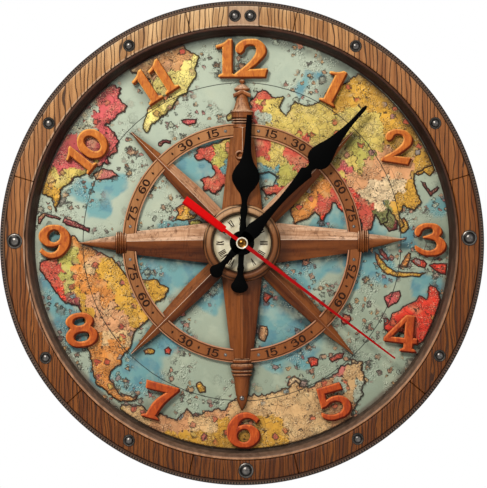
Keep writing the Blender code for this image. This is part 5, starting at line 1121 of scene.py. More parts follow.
for node, (*sizes, rest, body, shares) in HANDS.items():
    long, tail, half, back, front = (part * MM for part in sizes)
    right = [(wide * half, along * (tail if along < 0 else long), kind)
             for along, wide, kind in knots(shares)]
    outline = right + [(-x, z, kind) for x, z, kind in reversed(right)]
    blade = set_down(cut_plate(f"{body}_blade", [outline], back, front, 0.12 * MM, 10, 1), clockwise=rest)
    if body == "second":
        tip = around(1.0, 0, rest)
        by_point(blade, "tail", lambda co: 1.0 if co.dot(tip) < 1.0 * MM else 0.0)
        dressed(blade, red, [node], body)
    else:
        pipe, collet_back = {"hour": (2.45 * MM, 27.8 * MM), "minute": (1.55 * MM, 31.8 * MM)}[body]
        hub_plate = turned("hub_plate", [
            (pipe, back), (7.6 * MM, back), (7.6 * MM, front - 0.12 * MM), (7.45 * MM, front),
            (pipe, front)], 96)
        collet_front = back + 0.3 * MM
        collet = turned("collet", [
            (pipe, collet_back), (pipe + 1.2 * MM, collet_back), (pipe + 1.2 * MM, collet_front),
            (pipe, collet_front)], 48)
        dressed(merged(f"{body}_hand_shape", [blade, hub_plate, collet]), black, [node], body)
brass, shader, place = new_material("cap_brass")
centre = place.length().between(0.0030, 0.0026)
tone = place.noise(900.0, 3.0).blend(rgb(240, 226, 196), rgb(255, 246, 226))
feed(shader, colour=centre.blend(tone, rgb(112, 74, 30)), metal=centre * 0.5 + 0.5, rough=0.24)
cap_piece = turned("hand_cap", mm(
    "0,34.7 3.4,34.7 3.7,35 3.7,35.9 3.55,36.25 3.3,36.4 2.95,36.25 2.75,35.8 2,35.65 1.5,35.9 .8,36.1 "
    "0,36.15"), 64)
dressed(cap_piece, brass, ["second_hand"], "second")
print("hands ready")

# %% [markdown]
# ## The map
#
# The sea is a disc whose corners carry a painted colour. Each land takes its coast from the CAD node,
# crinkled, and is filled with a fine triangle mesh: its points carry the region's colour, how far the
# coast is, and how near a border runs.

# %%
SEA_FRONT = 20.5 * MM
LAND_BACK, LAND_FRONT = 20.8 * MM, 22.0 * MM
LAND_MESH = 0.8 * MM
UNEVEN = 0.15 * MM
INSET_WIDTH = 3 * MM
BORDER_WIDTH = 0.75 * MM
LAND_SIDE = (0.06, 0.03, 0.015, 1.0)
# Each paint's name and picture colour.
PAINTS = (
    "sea,170,181,160 dusk,138,148,126 teal,98,152,154 deep,78,134,146 pale,186,193,168 "
    "straw,234,217,124 yellow,204,180,90 gold,210,158,54 orange,208,132,58 tan,210,152,104 "
    "brown,196,142,90 pink,206,88,88 coral,198,80,62 red,230,60,38 olive,174,166,78 green,112,120,66 "
    "cream,226,198,154 sand,216,176,122 rose,198,112,102 maroon,132,50,54")
PAPER = {name: rgb(*map(int, colour)) for name, *colour in (word.split(",") for word in PAINTS.split())}


def coast_of(node):
    """The outline of a CAD plate's front: (x, z) points from its leftmost one, always the same way round."""
    bm = bmesh.new()
    bm.from_mesh(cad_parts[node].data)
    bmesh.ops.remove_doubles(bm, verts=bm.verts, dist=1e-6)
    fronts = {face for face in bm.faces if face.normal.y < -0.9}
    edges = [edge for edge in bm.edges if sum(face in fronts for face in edge.link_faces) == 1]
    links = {}
    for edge in edges:
        for vert in edge.verts:
            links.setdefault(vert, []).append(edge)
    start = edges[0].verts[0]
    here, came, outline = start, None, []
    while True:
        outline.append((here.co.x, here.co.z))
        edge = next(item for item in links[here] if item is not came)
        here, came = edge.other_vert(here), edge
        if here is start:
            break
    bm.free()
    outline = [(round(x, 6), round(z, 6)) for x, z in outline]
    turn = sum(x0 * z1 - x1 * z0 for (x0, z0), (x1, z1) in zip(outline, outline[1:] + outline[:1]))
    outline = outline if turn > 0 else outline[::-1]
    first = outline.index(min(outline))
    return outline[first:] + outline[:first]


COAST_STEP = 0.55 * MM
COAST_LIMIT = 128.6 * MM
CRINKLED_WITHIN = 127.5 * MM


def crinkled(outline, amount):
    """The outline cut into short steps and pushed about by noise, except along the moulding."""
    points = []
    for (x0, z0), (x1, z1) in zip(outline, outline[1:] + outline[:1]):
        parts = max(1, round(math.hypot(x1 - x0, z1 - z0) / COAST_STEP))
        for part in range(parts):
            share = part / parts
            point = Vector((x0 + (x1 - x0) * share, 0, z0 + (z1 - z0) * share))
            if point.length < CRINKLED_WITHIN:
                push = noise.noise_vector(point * 260) + 0.7 * noise.noise_vector(point * 620)
                point += Vector((push.x, 0, push.z)) * amount
            if point.length > COAST_LIMIT:
                point *= COAST_LIMIT / point.length
            points.append((point.x, point.z))
    return points


def tree_of(points):
    """A tree that finds the nearest of (x, z) points."""
    found = kdtree.KDTree(len(points))
    for rank, point in enumerate(points):
        found.insert((point[0], 0, point[1]), rank)
    found.balance()
    return found


NUMERAL_SPOTS = [(around(share * DIAL, 0, angle), 11.0 if number > 9 else 8.5)
                 for number, (angle, share, _, _) in PLACES.items()]


MOULDING_SHADE, NUMERAL_SHADE = 0.78, 0.30
ROSE_SHADE_ABOVE, ROSE_SHADE_BELOW = 0.70, 0.80
ROSE_SHADE_WIDTH, NUMERAL_SHADE_WIDTH = 6.0, 5.0


def dimmed(x, z):
    """How much light a place in mm keeps, by the contact shadows painted after the photograph.

    The shadows lie a little to the lower right of the rose and the numerals, and are widest on the right
    of the south-east point, where the photograph's point is wider.
    """
    kept = 1 - MOULDING_SHADE * clamped((z - 20) / 50) * smooth((math.hypot(x, z) - 120.5) / 7.5)
    px, pz = x - 1.5, z + 2.0
    gap = math.hypot(px, pz) - HUB_OUT / MM
    for turn in range(8):
        angle = math.radians(45 * turn)
        along = px * math.sin(angle) + pz * math.cos(angle)
        side = px * math.cos(angle) - pz * math.sin(angle)
        if turn % 2:
            half, tip = 5.9 - max(0.0, along - 40) * 0.095, 97.5
            if turn == 3 and side > 0:
                half += 4.5 * clamped((100 - along) / 45)
        else:
            half, tip = 13.0 - 0.117 * (along - 17) if along < 80 else 5.0 - (along - 80) * 0.22, 101.0
        if along > 18:
            gap = min(gap, max(abs(side) - half, along - tip))
    near = clamped(1 - gap / ROSE_SHADE_WIDTH)
    kept *= 1 - (ROSE_SHADE_ABOVE if z > 0 else ROSE_SHADE_BELOW) * near * near
    for spot, half in NUMERAL_SPOTS:
        gap = math.hypot(x - spot.x / MM - 0.6, z - spot.z / MM + 1.6) - half
        kept *= 1 - NUMERAL_SHADE * clamped(1 - gap / NUMERAL_SHADE_WIDTH)
    return kept


def land(name, outline, seeds, back, front, spacing, cell, inner=0.6):
    """A land plate standing above the sea: a fine front with painted regions, a soft edge, sides and a back.

    The regions are made of cells about as wide as the cell says in mm, each with the nearest seed's colour.
    """
    count = len(outline)
    shore = tree_of(outline)
    xs = [x for x, z in outline]
    zs = [z for x, z in outline]
    points = [Vector(point) for point in outline]
    rows = int((max(zs) - min(zs)) / spacing)
    for row in range(1, rows):
        z = min(zs) + row * spacing
        cuts = sorted(
            (x1 - x0) * (z - z0) / (z1 - z0) + x0
            for (x0, z0), (x1, z1) in zip(outline, outline[1:] + outline[:1]) if (z0 > z) != (z1 > z))
        for left, right in zip(cuts[::2], cuts[1::2]):
            x = left + spacing * 0.5
            while x < right - spacing * 0.4:
                if shore.find((x, 0, z))[2] > spacing * 0.5:
                    points.append(Vector((x + spacing * 0.2 * (row % 2), z)))
                x += spacing
    edges = [(rank, (rank + 1) % count) for rank in range(count)]
    verts, _, faces, *_ = geometry.delaunay_2d_cdt(points, edges, [], 1, 1e-7)
    cells = []
    step = cell * MM
    z = min(zs) - step
    while z < max(zs) + step:
        x = min(xs) - step
        while x < max(xs) + step:
            push = noise.noise_vector(Vector((x, 3.1, z)) * 400)
            cells.append((x + push.x * step * 0.6, z + push.z * step * 0.6))
            x += step
        z += step
    cell_tree = tree_of(cells)
    seed_tree = tree_of([(x * MM, z * MM) for x, z, _ in seeds])
    shades = [noise.noise(Vector((x, 9.7, z)) * 900) for x, z in cells]
    owners = [seed_tree.find((x, 0, z))[1] for x, z in cells]
    bm = bmesh.new()
    paint = bm.verts.layers.float_color.new("paint")
    inset = bm.verts.layers.float.new("inset")
    border = bm.verts.layers.float.new("border")
    made = []
    for vert in verts:
        place = Vector((vert.x, 0, vert.y))
        near = shore.find(place)[2]
        relief = UNEVEN * noise.noise(place * 240) * min(1, near / (2 * MM))
        drop = 0.42 * MM if near < 0.05 * MM else 0.12 * MM if near < 0.6 * MM else 0
        point = bm.verts.new((vert.x, -front + drop + relief, vert.y))
        push = (noise.noise_vector(place * 170) * 2.4 + noise.noise_vector(place * 480) * 1.3
                + noise.noise_vector(place * 1100) * 0.7) * MM
        push.y = 0
        (_, first, d1), (_, second, d2) = cell_tree.find_n(place + push, 2)
        kept = dimmed(vert.x / MM, vert.y / MM)
        tone = 1 + (0.04 + shades[first] * 0.36)
        colour = PAPER[seeds[owners[first]][2]]
        point[paint] = [clamped(part * tone) * kept for part in colour[:3]] + [1.0]
        point[inset] = near / INSET_WIDTH
        gap = (d2 - d1) / BORDER_WIDTH
        faint = inner * (0.65 + 0.5 * noise.noise(place * 60))
        point[border] = max(0, 1 - gap) * (1.0 if owners[first] != owners[second] else faint)
        made.append(point)
    for face in faces:
        bm.faces.new([made[rank] for rank in face])
    rim = [edge for edge in bm.edges if len(edge.link_faces) == 1]
    pulled = bmesh.ops.extrude_edge_only(bm, edges=rim)["geom"]
    for item in pulled:
        if isinstance(item, bmesh.types.BMVert):
            item.co.y = -back
            item[paint] = LAND_SIDE
            item[inset] = 0
    bmesh.ops.holes_fill(bm, edges=[edge for edge in bm.edges if len(edge.link_faces) == 1])
    # The sides are pulled out in another order in each run, so they are put in one by place.
    order = list(bm.faces)
    order[len(faces):] = sorted(order[len(faces):], key=lambda face: tuple(face.calc_center_median()))
    for rank, face in enumerate(order):
        face.index = rank
    bm.faces.sort()
    return finished(name, bm, 50.0)


def ink_circle(place, colour):
    """The thin printed circle near the numerals' feet."""
    radius = place.moved((0, 0, -0.0008)).length()
    wobble = radius + place.noise(90.0, 2.0) * 0.0006 - 0.0003
    line = wobble.off(0.0990).between(0.00036, 0.00016)
    return (line * 0.9).blend(colour, rgb(22, 24, 20))


def scribble(place, scale, width, detail=2.0):
    """Thin wandering lines along the contours of noise."""
    return (place.noise(scale, detail) * 5.0).waves().between(width, width * 0.3)


def flat(place):
    """The place in the dial's plane, as a flat vector."""
    x, y, z = place.axes()
    return x.node("CombineXYZ", {0: x, 1: z, 2: 0.0})


land_paint, shader, place = new_material("land_paint")
paint = attribute(place, "paint", "Color")
inset = attribute(place, "inset")
border = attribute(place, "border")
plane = flat(place).warped(320.0, 0.0022)
x, y, z = place.axes()
mottled = plane.noise(180.0, 4.0, 0.65)
colour = (mottled.between(0.42, 0.72) * 0.30).blend(paint, rgb(150, 96, 44))
colour = (plane.noise(90.0, 2.0).between(0.52, 0.70) * 0.20).blend(colour, rgb(244, 226, 168))
# Painted light: the lands are painted paler toward the top left and darker toward the bottom right.
colour = colour.times((z - x * 0.6).between(-0.14, 0.12).blend((0.80, 0.76, 0.72, 1), (1.06, 1.06, 1.06, 1)))
towns = plane.node("TexVoronoi", {"Vector": plane, "Scale": 150.0}, 0, voronoi_dimensions="2D",
                   feature="DISTANCE_TO_EDGE")
lines = towns.between(0.050, 0.012) * plane.noise(70.0, 1.0).between(0.42, 0.56)
busy = plane.noise(120.0, 1.0).between(0.46, 0.52)
curls = scribble(plane, 400.0, 0.085, 1.0) * busy
strokes = scribble(plane.warped(700.0, 0.0015), 560.0, 0.12, 2.0)
strokes = strokes * plane.noise(150.0, 1.0).between(0.47, 0.53)
# A painted highlight: pale copies of the curls, a little to their top left.
ridge_highlight = scribble(plane.moved((0.0005, -0.0005, 0.0)), 400.0, 0.11, 1.0) * busy
colour = (ridge_highlight * 0.30).blend(colour, rgb(250, 236, 190))
curls = curls.most(strokes * 0.9)
away, dice, tint, _ = plane.warped(520.0, 0.0042, 3.0).cells(135.0)
blueness = paint.node("SeparateColor", {0: paint}, 2)
chosen = dice.between(0.66, 0.67) * plane.noise(30.0, 1.0).between(0.42, 0.50) * blueness.between(0.27, 0.24)
blot = tint.painted("0,176,54,48 .35,196,96,62 .5,104,152,150 .7,168,64,70 1,196,176,84")
colour = (away.between(0.24, 0.20) * chosen * 0.8).blend(colour, blot)
curls = curls.most(away.off(0.24).between(0.07, 0.02) * chosen)
crumbled = border + (plane.noise(1300.0, 2.0, 0.6) - 0.5) * 0.7
ragged = inset + (plane.noise(1100.0, 2.0, 0.6) - 0.5) * 0.42
waved = inset + (plane.noise(160.0, 1.0) - 0.5) * 1.4
hatch = plane.noise(1000.0, 1.0).between(0.52, 0.60) * waved.between(0.95, 0.35)
inked = (lines * 0.50).most(curls * 0.85).most(crumbled.between(0.40, 0.62) * 0.9)
inked = inked.most(ragged.between(0.40, 0.20)).most(hatch * 0.75)
colour = (inked * 0.96).blend(colour, rgb(36, 20, 13))
colour = ink_circle(place, colour)
feed(shader, colour=colour, rough=mottled * 0.2 + 0.55, specular=0.3,
     normal=(mottled * 0.7 - inked * 0.6).bumped(0.75, 0.45 * MM))

# For each land: slot, width of its cells in mm, how dark the lines within a region are, roughness of the
# coast, and the regions' seed points in mm.
LANDS = {
    "land_north_america": ("land_yellow", 4.2, 0.7, 1.7, {
        "sea": "-98,80 -91,84.5 -104,71 -98,74 -94,70",
        "pink": "-94,91 -88,97 -80,93 -74,85 -79,78 -86,73 -90,75 -85,80 -88,90 -98,87 -82,64 -92,62 "
                "-101,58 -108,64 -76,74 -96,54 -114,58 -84,68 -118,50 -123,54 -111,49 -104,48",
        "yellow": "-118,44 -110,38 -104,42",
        "gold": "-110,28 -122,34 -122,42"}),
    "land_greenland": ("land_yellow", 6.0, 0.5, 1.3, {
        "brown": "-72,100 -66,104 -54,112 -44,114 -46,120 -60,108 -38,117",
        "tan": "-50,108 -60,100 -62,92 -62,84",
        "straw": "-39,96 -43,104 -34,108 -50,92 -56,78 -45,84 -52,98 -30,114",
        "yellow": "-52,84"}),
    "land_south_america": ("land_orange", 4.6, 1.0, 1.0, {
        "coral": "-123,-17 -118,-27 -121,-22 -115,-20",
        "red": "-112,-33",
        "maroon": "-105,-37",
        "olive": "-109,-14 -111,-21 -106,-9 -109,-28",
        "gold": "-104,-32 -86,-16 -78,-16 -75,-38 -75,-28 -64,-48 -68,-38 -56,-26 -51,-30 -98,-44",
        "orange": "-99,-3 -100,-16 -95,-24 -102,-25 -88,-28 -84,-36 -91,-61 -86,-73 -83,-86 -76,-62 "
                  "-96,-8",
        "sand": "-94,-13 -84,-57 -72,-60",
        "tan": "-92,-10 -92,-39 -78,-48 -80,-42 -70,-54 -92,-48 -64,-55 -86,-50",
        "yellow": "-60,-34"}),
    "land_old_world": ("land_yellow", 4.6, 0.75, 1.35, {
        "coral": "4,88 10,93 8,80 13,61 33,56 40,50 18,33 52,24 60,34 76,20 78,10 -22,56 -19,41",
        "sea": "10,71 12,77",
        "yellow": "16,86 18,74 20,78 28,70 38,81 50,76 66,74 80,70 22,54 48,58 68,52 58,43 56,52 -4,60 "
                  "2,70 0,50",
        "gold": "60,90 73,99 86,92 95,74 104,60 34,28 44,42 104,28 108,22 110,40 114,49 120,44 96,16 "
                "100,10 110,68 120,52",
        "teal": "17,42 -8,46",
        "olive": "28,44 72,56 -14,52 6,38",
        "orange": "38,18 44,24 50,36",
        "red": "58,20 68,24",
        "pink": "63,48",
        "tan": "70,40 86,47 98,46",
        "cream": "81,36 90,40 84,28 94,32",
        "green": "89,19 86,10",
        "maroon": "92,10"}),
    "land_australia": ("land_red", 9.0, 0.06, 1.0, {
        "pink": "104,-33",
        "red": "99,-42 108,-40 112,-48 117,-37 106,-56 122,-30"}),
    "land_antarctica": ("land_cream", 8.0, 0.55, 1.7, {
        "sand": "-70,-108 -24,-112 6,-104 30,-104 42,-98 46,-112 66,-92 26,-96 70,-80",
        "gold": "-35,-121 -11,-120 18,-120 8,-124",
        "tan": "-40,-112 -16,-104 52,-90 62,-104",
        "rose": "60,-80",
        "sea": "55,-84 76,-92 74,-99"}),
}
for node, (slot, cell, inner, rough, regions) in LANDS.items():
    seeds = [(x, z, colour) for colour, spots in regions.items() for x, z in numbers(spots)]
    outline = crinkled(coast_of(node), rough * MM)
    made = land(node.replace("land", "painted"), outline, seeds, LAND_BACK, LAND_FRONT, LAND_MESH, cell,
                inner)
    dressed(made, land_paint, [node])
    print(node, len(outline), len(made.data.vertices))

# %% [markdown]
# ## Sea and islands
#
# The sea has turquoise shallows where the print has them, small inked rings and blots like islets on an
# old chart, and thin wandering lines. Islands are small lands with their own colours.

# %%
# The turquoise discs: place and radius in mm.
SHALLOWS = numbers(
    "-93,33,9 -84,36,7 -91,26,8 -87,21,5 -101,31,6 -77,38,5 -118,4,5 -50,-16,15 -34,-13,12 -22,-22,12 "
    "-60,-12,8 -29,49,12 -22,56,8 -12,62,7 -65,-78,15 -50,-62,11 -78,-74,8 -42,-55,9 -20,-34,10 -90,-84,8 "
    "27,-50,18 16,-40,12 36,-62,14 22,-62,14 38,-19,13 50,-14,10 28,-26,9 56,13,8 48,10,6 80,10,8 74,4,7 "
    "84,-14,9 92,-18,7 72,-12,9 68,-22,7 42,101,5 37,95,4 50,103,3.5 -116,-41,11 -122,-28,7 -108,-52,9 "
    "-104,-62,7 112,-24,7 120,-28,6 16,43,7 22,42,5 -2,64,6 -36,8,6 -44,12,5 20,-72,8 104,2,5 122,22,5 "
    "-16,10,6")


def shallow(x, z):
    """How turquoise the sea is at a place in mm."""
    place = Vector((x, 0, z))
    push = noise.noise_vector(place * 0.07) * 6.0 + noise.noise_vector(place * 0.23) * 2.0
    x, z = x + push.x, z + push.z
    best = 0.0
    for px, pz, size in SHALLOWS:
        away = math.hypot(x - px, z - pz) / size
        if away < 1.22:
            best = max(best, (1.22 - away) / 0.34)
    return smooth(best)


def mixed(first, second, share):
    """The first colour where the share is 0, the second where it is 1."""
    return [a + (b - a) * share for a, b in zip(first[:3], second[:3])]


profile = mm("4.5,16.5 130.9,16.5 130.9,20.3 130.6,20.5")
profile += [((4.5 + 1.15 * step) * MM, SEA_FRONT) for step in range(109, -1, -1)]
sea = turned("sea", profile, 330)
paint = sea.data.attributes.new("paint", "FLOAT_COLOR", "POINT")
values = []
for vert in sea.data.vertices:
    x, z = vert.co.x / MM, vert.co.z / MM
    reach = math.hypot(x, z)
    tone = 0.5 + 0.5 * noise.noise(Vector((x, 5.0, z)) * 0.06)
    deep = PAPER["deep" if noise.noise(Vector((x, 1.0, z)) * 0.11) > 0.1 else "teal"]
    lit = clamped(0.5 + (z - 0.6 * x) / 190)
    ground = mixed(mixed(PAPER["dusk"], PAPER["sea"], lit), PAPER["pale"], tone * lit * 0.5)
    ground = mixed(ground, [part * (0.82 + 0.22 * lit) for part in deep], shallow(x, z) * 0.9)
    # Painted shade: the sea darkens toward the moulding, and a brown painted shadow lies along its edge in
    # the lower half.
    rim = max(0.0, reach - 116) / 14 + 2.2 * max(0.0, reach - 127.8) / 3
    shade = clamped((reach - 126.2) / 1.8) * clamped((20 - z) / 60) * 0.85
    ground = mixed([part * (1 - 0.12 * rim) for part in ground], rgb(92, 76, 62), shade)
    kept = dimmed(x, z)
    values += [part * kept for part in ground] + [1.0]
paint.data.foreach_set("color", values)

sea_paint, shader, place = new_material("sea_paint")
paint = attribute(place, "paint", "Color")
plane = flat(place).warped(420.0, 0.0016)
mottled = plane.noise(120.0, 5.0, 0.65)
colour = (mottled.between(0.42, 0.70) * 0.25).blend(paint, rgb(140, 158, 142))
colour = (plane.noise(60.0, 3.0).between(0.50, 0.66) * 0.20).blend(colour, rgb(206, 206, 172))
coasts = plane.noise(34.0, 1.0).between(0.44, 0.54)
inked = scribble(plane, 120.0, 0.020) * plane.noise(50.0, 2.0).between(0.56, 0.62) * 0.5
busy = plane.noise(95.0, 1.0).between(0.49, 0.54)
curls = scribble(plane, 430.0, 0.10, 1.0) * busy
# A painted highlight: pale copies of the curls, a little to their top left.
ridge_highlight = scribble(plane.moved((0.0005, -0.0005, 0.0)), 430.0, 0.13, 1.0) * busy * coasts
colour = (ridge_highlight * 0.4).blend(colour, rgb(226, 230, 204))
inked = inked.most(curls * coasts * 0.8)
torn = plane.warped(520.0, 0.0042, 3.0)
scratches = scribble(plane.warped(900.0, 0.002), 620.0, 0.16, 2.0) * 0.9
for scale, shift, size, share, cluster in numbers("74,0,.2,.6,.8 140,.37,.25,.52,1 230,.71,.28,.54,1"):
    away, dice, tint, grow = torn.moved((shift, shift * 0.7, 0.0)).cells(scale)
    shape = away + (plane.noise(760.0, 3.0, 0.7) - 0.5) * 0.42 + grow * 0.10
    chosen = dice.between(share, share + 0.01) * (coasts * cluster + (1 - cluster))
    blot = tint.painted("0,176,70,76 .28,200,150,84 .45,150,84,84 .58,186,190,160 .8,140,150,132 1,112,60,62")
    colour = (shape.between(size, size - 0.03) * chosen * 0.65).blend(colour, blot)
    inked = inked.most(shape.off(size).between(0.060, 0.02) * chosen * 0.95)
    inked = inked.most(scratches * chosen * shape.between(size + 0.12, size))
colour = ink_circle(place, (inked * 0.94).blend(colour, rgb(36, 30, 24)))
x, y, z = place.axes()
side = mottled.between(0.3, 0.7).blend(rgb(112, 80, 54), rgb(140, 104, 72))
colour = y.between(-0.0203, -0.0201).blend(colour, side)
feed(shader, colour=colour, rough=mottled * 0.2 + 0.5, specular=0.3,
     normal=(mottled + inked * 0.8).bumped(0.7, 0.4 * MM))
dressed(sea, sea_paint, ["dial_board"])

# Each island's colour and outline in mm, and the second colour that goes with it.
ISLANDS = (
    ("gold", "82.3,-5.4 84.1,-13.6 89,-19.2 96.9,-21.5 110.8,-20.8 114.7,-18.5 104.8,-18 95.9,-17.5 "
             "90,-13.6 86.5,-9.1 85.5,-6.7"),
    ("pink", "85,-3.7 87.5,-3.2 92,-10.1 90.5,-11.6 86,-7.2"),
    ("orange", "97.9,-14.1 100.9,-9.1 103.8,-5.4 105.4,-6.7 104.3,-11.1 102.8,-15.6 99.4,-15.1"),
    ("red", "115.7,-13.6 119.2,-12.1 128.1,-12.6 127.8,-20.2 122.6,-19 119.2,-16.5"),
    ("maroon", "110.8,39.1 114.2,37.8 117.2,32.4 121.6,35.9 123.1,34.4 119.7,30.9 116.9,28.7 114.7,32.4"),
    ("pink", "-38.2,76.4 -32,77.4 -27.7,77.7 -29.1,74.2 -33,73 -37.5,74"),
    ("maroon", "-52.8,62.3 -49.3,64.5 -44.1,64.3 -44.3,61.8 -47.9,62.5 -50.3,59.9 -52.2,60.6"),
    ("maroon", "-110.4,16.1 -103.5,13.6 -94.6,9.2 -95.1,6.5 -102.5,9.2 -108.5,10.7 -112.4,13"),
    ("rose", "-127.2,16.6 -123.3,18.8 -117.4,17.6 -112.4,15.6 -113.4,14.2 -117.4,15.6 -122.8,16.8 "
             "-125.8,11.6 -127.2,11.6"),
    ("gold", "-41.4,22.3 -36,25.3 -31,21.8 -27.1,19.3 -29.1,15.4 -36,13.9 -41.9,13.9 -39.9,18.8"),
    ("yellow", "-9.8,79.2 -6.3,83.1 -5.1,79.2 -6.3,76.2 -9.3,75.7"),
    ("pink", "88.5,-33.4 93,-30.4 98.4,-29.7 99.4,-32.9 95.9,-37.8 91,-40.3 89,-36.8"),
    ("red", "87.8,-46.7 90.5,-46.2 93.4,-51.7 92,-54.8 88.5,-52.6"),
    ("coral", "61.3,-47.7 63.3,-44.2 67.7,-44.2 68.2,-47.7 66.3,-50.7 62.3,-50.7"),
    ("red", "40.5,-71.4 44.5,-70.4 48,-71.9 47,-76.4 43,-77.4"),
    ("gold", "-61.7,-66.8 -58.2,-64.8 -54.3,-66.8 -54.8,-69.2 -60.7,-69.9"),
    ("red", "-48.8,-66.3 -45.9,-64.6 -43.4,-66.8 -44.9,-69.7 -47.9,-69.2"),
    ("gold", "-29.1,-87.5 -26.1,-86 -22.6,-89.5 -22.6,-93 -26.1,-93.5 -28.1,-90.5"),
    ("cream", "27.8,-88.5 29.3,-84.6 33.2,-82.6 37.2,-85.5 36.2,-87.5 31.3,-90"),
    ("cream", "65.9,-71.2 70.8,-72.7 75.8,-76.6 74.8,-82.6 77.3,-86.5 74.8,-88.5 72.8,-83.6 70.3,-77.6"),
    ("coral", "54,-71.6 60.9,-67.6 63.9,-68.6 62.9,-71.6 58.9,-73.1 56,-74.6"),
    ("coral", "-75.6,-92.5 -69.6,-95.9 -64.7,-94.4 -66.7,-97.4 -70.6,-98.4 -75.6,-97.4"),
    ("red", "13.8,-29.9 19.3,-32.9 14.8,-37.3 12.8,-35.8"),
    ("tan", "10.9,-50.7 15.8,-51.7 16.8,-55.6 14.3,-61.5 9.9,-59.6"),
    ("olive", "-34,14 -28,15 -24,12.6 -27,10.2 -33,10.6"),
    ("gold", "98.2,15.2 101,16 103.2,13.4 104,9.6 102.2,6.6 99.6,5.8 98.2,7.6 98.4,11.5"),
    ("green", "96.4,8 91.4,6.8 87,12.6 84.6,18.6 85.6,24.6 90.4,26 95,22 97.2,16"),
    ("coral", "57,-31 60,-29.2 62.6,-31 60.8,-33.6 57.8,-33.4"),
    ("gold", "107.5,44 112,47.5 117,51.5 121,49 119.5,44 116.5,41.5 113.5,44 110,41.5"),
    ("rose", "-92.5,43.5 -87,47 -81,45.5 -76,41.5 -81.5,40.5 -87.5,39 -91,39.5"),
    ("red", "104.5,-11 108.5,-9.2 113,-10.2 115.4,-12.4 113.6,-16 109.4,-14.6"),
)
SECOND = {"gold": "orange", "pink": "maroon", "red": "coral", "maroon": "rose", "yellow": "gold",
          "green": "maroon"}
isles = []
for rank, (colour, text) in enumerate(ISLANDS):
    coast = numbers(text)
    outline = crinkled(mm(text), 0.55 * MM)
    x, z = (sum(point[axis] for point in coast) / len(coast) for axis in (0, 1))
    seeds = [(x - 1, z, colour), (x + 2, z + 1, colour), (*coast[0], SECOND.get(colour, "tan"))]
    isles.append(land(f"isle_{rank}", outline, seeds, 20.45 * MM, 21.3 * MM, 0.6 * MM, 3.2))
dressed(merged("isles", isles), land_paint, ["dial_board"])
print("map ready")

# %% [markdown]
# ## Pieces carried over from the CAD
#
# The back, the hanger and the movement keep their CAD shapes and get materials of their own.


# %%
def plain(name, dark, light, scale, rough, metal, bump, stretch):
    """One surface with fine mottling, and streaks where it is stretched."""
    material, shader, place = new_material(name)
    mottled = place.stretched(*stretch).noise(scale, 4.0, 0.6)
    feed(shader, colour=mottled.between(0.30, 0.70).blend(dark, light), rough=mottled * 0.2 + rough,
         metal=metal, normal=mottled.bumped(bump, 0.2 * MM))
    return material


def carried(material, *nodes):
    """Gives CAD nodes that stay in the scene their material."""
    for node in nodes:
        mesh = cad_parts[node].data
        mesh.materials.clear()
        mesh.materials.append(material)


def wound():
    """Copper wire laid side by side on the coil, along X."""
    material, shader, place = new_material("copper_wire")
    x, y, z = place.axes()
    turns = (x * 2200.0).waves() * 2.0
    tone = place.noise(300.0, 3.0)
    colour = turns.between(0.0, 0.7).blend(rgb(92, 40, 18), tone.blend(rgb(176, 92, 44), rgb(214, 126, 70)))
    feed(shader, colour=colour, rough=tone * 0.2 + 0.25, metal=0.9, normal=turns.bumped(0.4, 0.1 * MM))
    return material


def board():
    """Green solder mask over tracks that show a little paler."""
    material, shader, place = new_material("circuit_green")
    plane = flat(place)
    tracks = plane.node("TexVoronoi", {"Vector": plane, "Scale": 520.0}, 0, voronoi_dimensions="2D",
                        distance="CHEBYCHEV", feature="DISTANCE_TO_EDGE")
    line = tracks.between(0.10, 0.04)
    base = plane.noise(200.0, 2.0).blend(rgb(18, 84, 46), rgb(28, 104, 58))
    feed(shader, colour=(line * 0.5).blend(base, rgb(70, 150, 84)), rough=line * 0.1 + 0.3, specular=0.5,
         normal=line.bumped(0.3, 0.05 * MM))
    return material


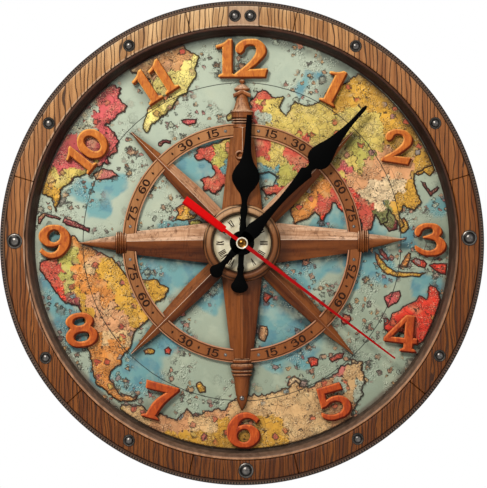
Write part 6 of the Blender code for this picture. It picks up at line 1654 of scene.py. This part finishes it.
def wrapped():
    """A cell's sleeve: dark, with a copper-coloured band at the positive end."""
    material, shader, place = new_material("battery_wrap")
    x, y, z = place.axes()
    scuffs = place.noise(500.0, 4.0, 0.6)
    low, high = BATTERY_SPAN
    share = (x - low) * (1 / (high - low))
    band = share.between(0.70, 0.705)
    sleeve = scuffs.between(0.4, 0.8).blend(rgb(28, 30, 34), rgb(52, 54, 60))
    feed(shader, colour=band.blend(sleeve, rgb(186, 118, 58)), rough=scuffs * 0.15 + 0.22, metal=band * 0.6,
         coat=0.4, normal=scuffs.bumped(0.05, 0.1 * MM))
    return material


cell_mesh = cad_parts["battery"].data
cell_xs = [vert.co.x for vert in cell_mesh.vertices]
BATTERY_SPAN = (min(cell_xs), max(cell_xs))
# For each material: nodes, name, dark and light colour, scale, roughness, metal, bump, stretch.
for nodes, name, dark, light, *look in (
        ("back_ring", "back_wood", (92, 56, 32), (150, 100, 60), 420.0, 0.55, 0.0, 0.4, (1, 1, 0.05)),
        ("wall_hanger", "zinc_steel", (120, 122, 126), (184, 186, 190), 700.0, 0.28, 1.0, 0.1, (1, 1, 0.1)),
        ("stator", "silicon_steel", (110, 112, 118), (164, 166, 172), 900.0, 0.32, 1.0, 0.08, (1, 0.1, 1)),
        ("fixing_nut", "nut_brass", (150, 108, 44), (206, 164, 84), 600.0, 0.25, 1.0, 0.1, (1, 1, 1)),
        ("case_front case_rear", "case_black", (16, 16, 17), (30, 30, 32), 1600.0, 0.42, 0.0, 0.3, (1, 1, 1)),
        ("step_wheel second_wheel third_wheel centre_wheel", "gear_white",
         (206, 202, 192), (236, 232, 222), 500.0, 0.35, 0.0, 0.05, (1, 1, 1)),
        ("cannon_pinion motion_wheel hour_wheel", "gear_blue",
         (96, 128, 168), (124, 156, 194), 500.0, 0.35, 0.0, 0.05, (1, 1, 1)),
        ("rotor", "magnet_grey", (52, 50, 52), (86, 84, 86), 1200.0, 0.4, 0.5, 0.15, (1, 1, 1))):
    carried(plain(name, rgb(*dark), rgb(*light), *look), *nodes.split())
carried(wound(), "coil")
carried(board(), "circuit_board")
carried(wrapped(), "battery")
print("carried nodes dressed")

# %%
size = {"cad_box": cad_box, "visual_box": [list(corner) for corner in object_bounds()]}
print(size)
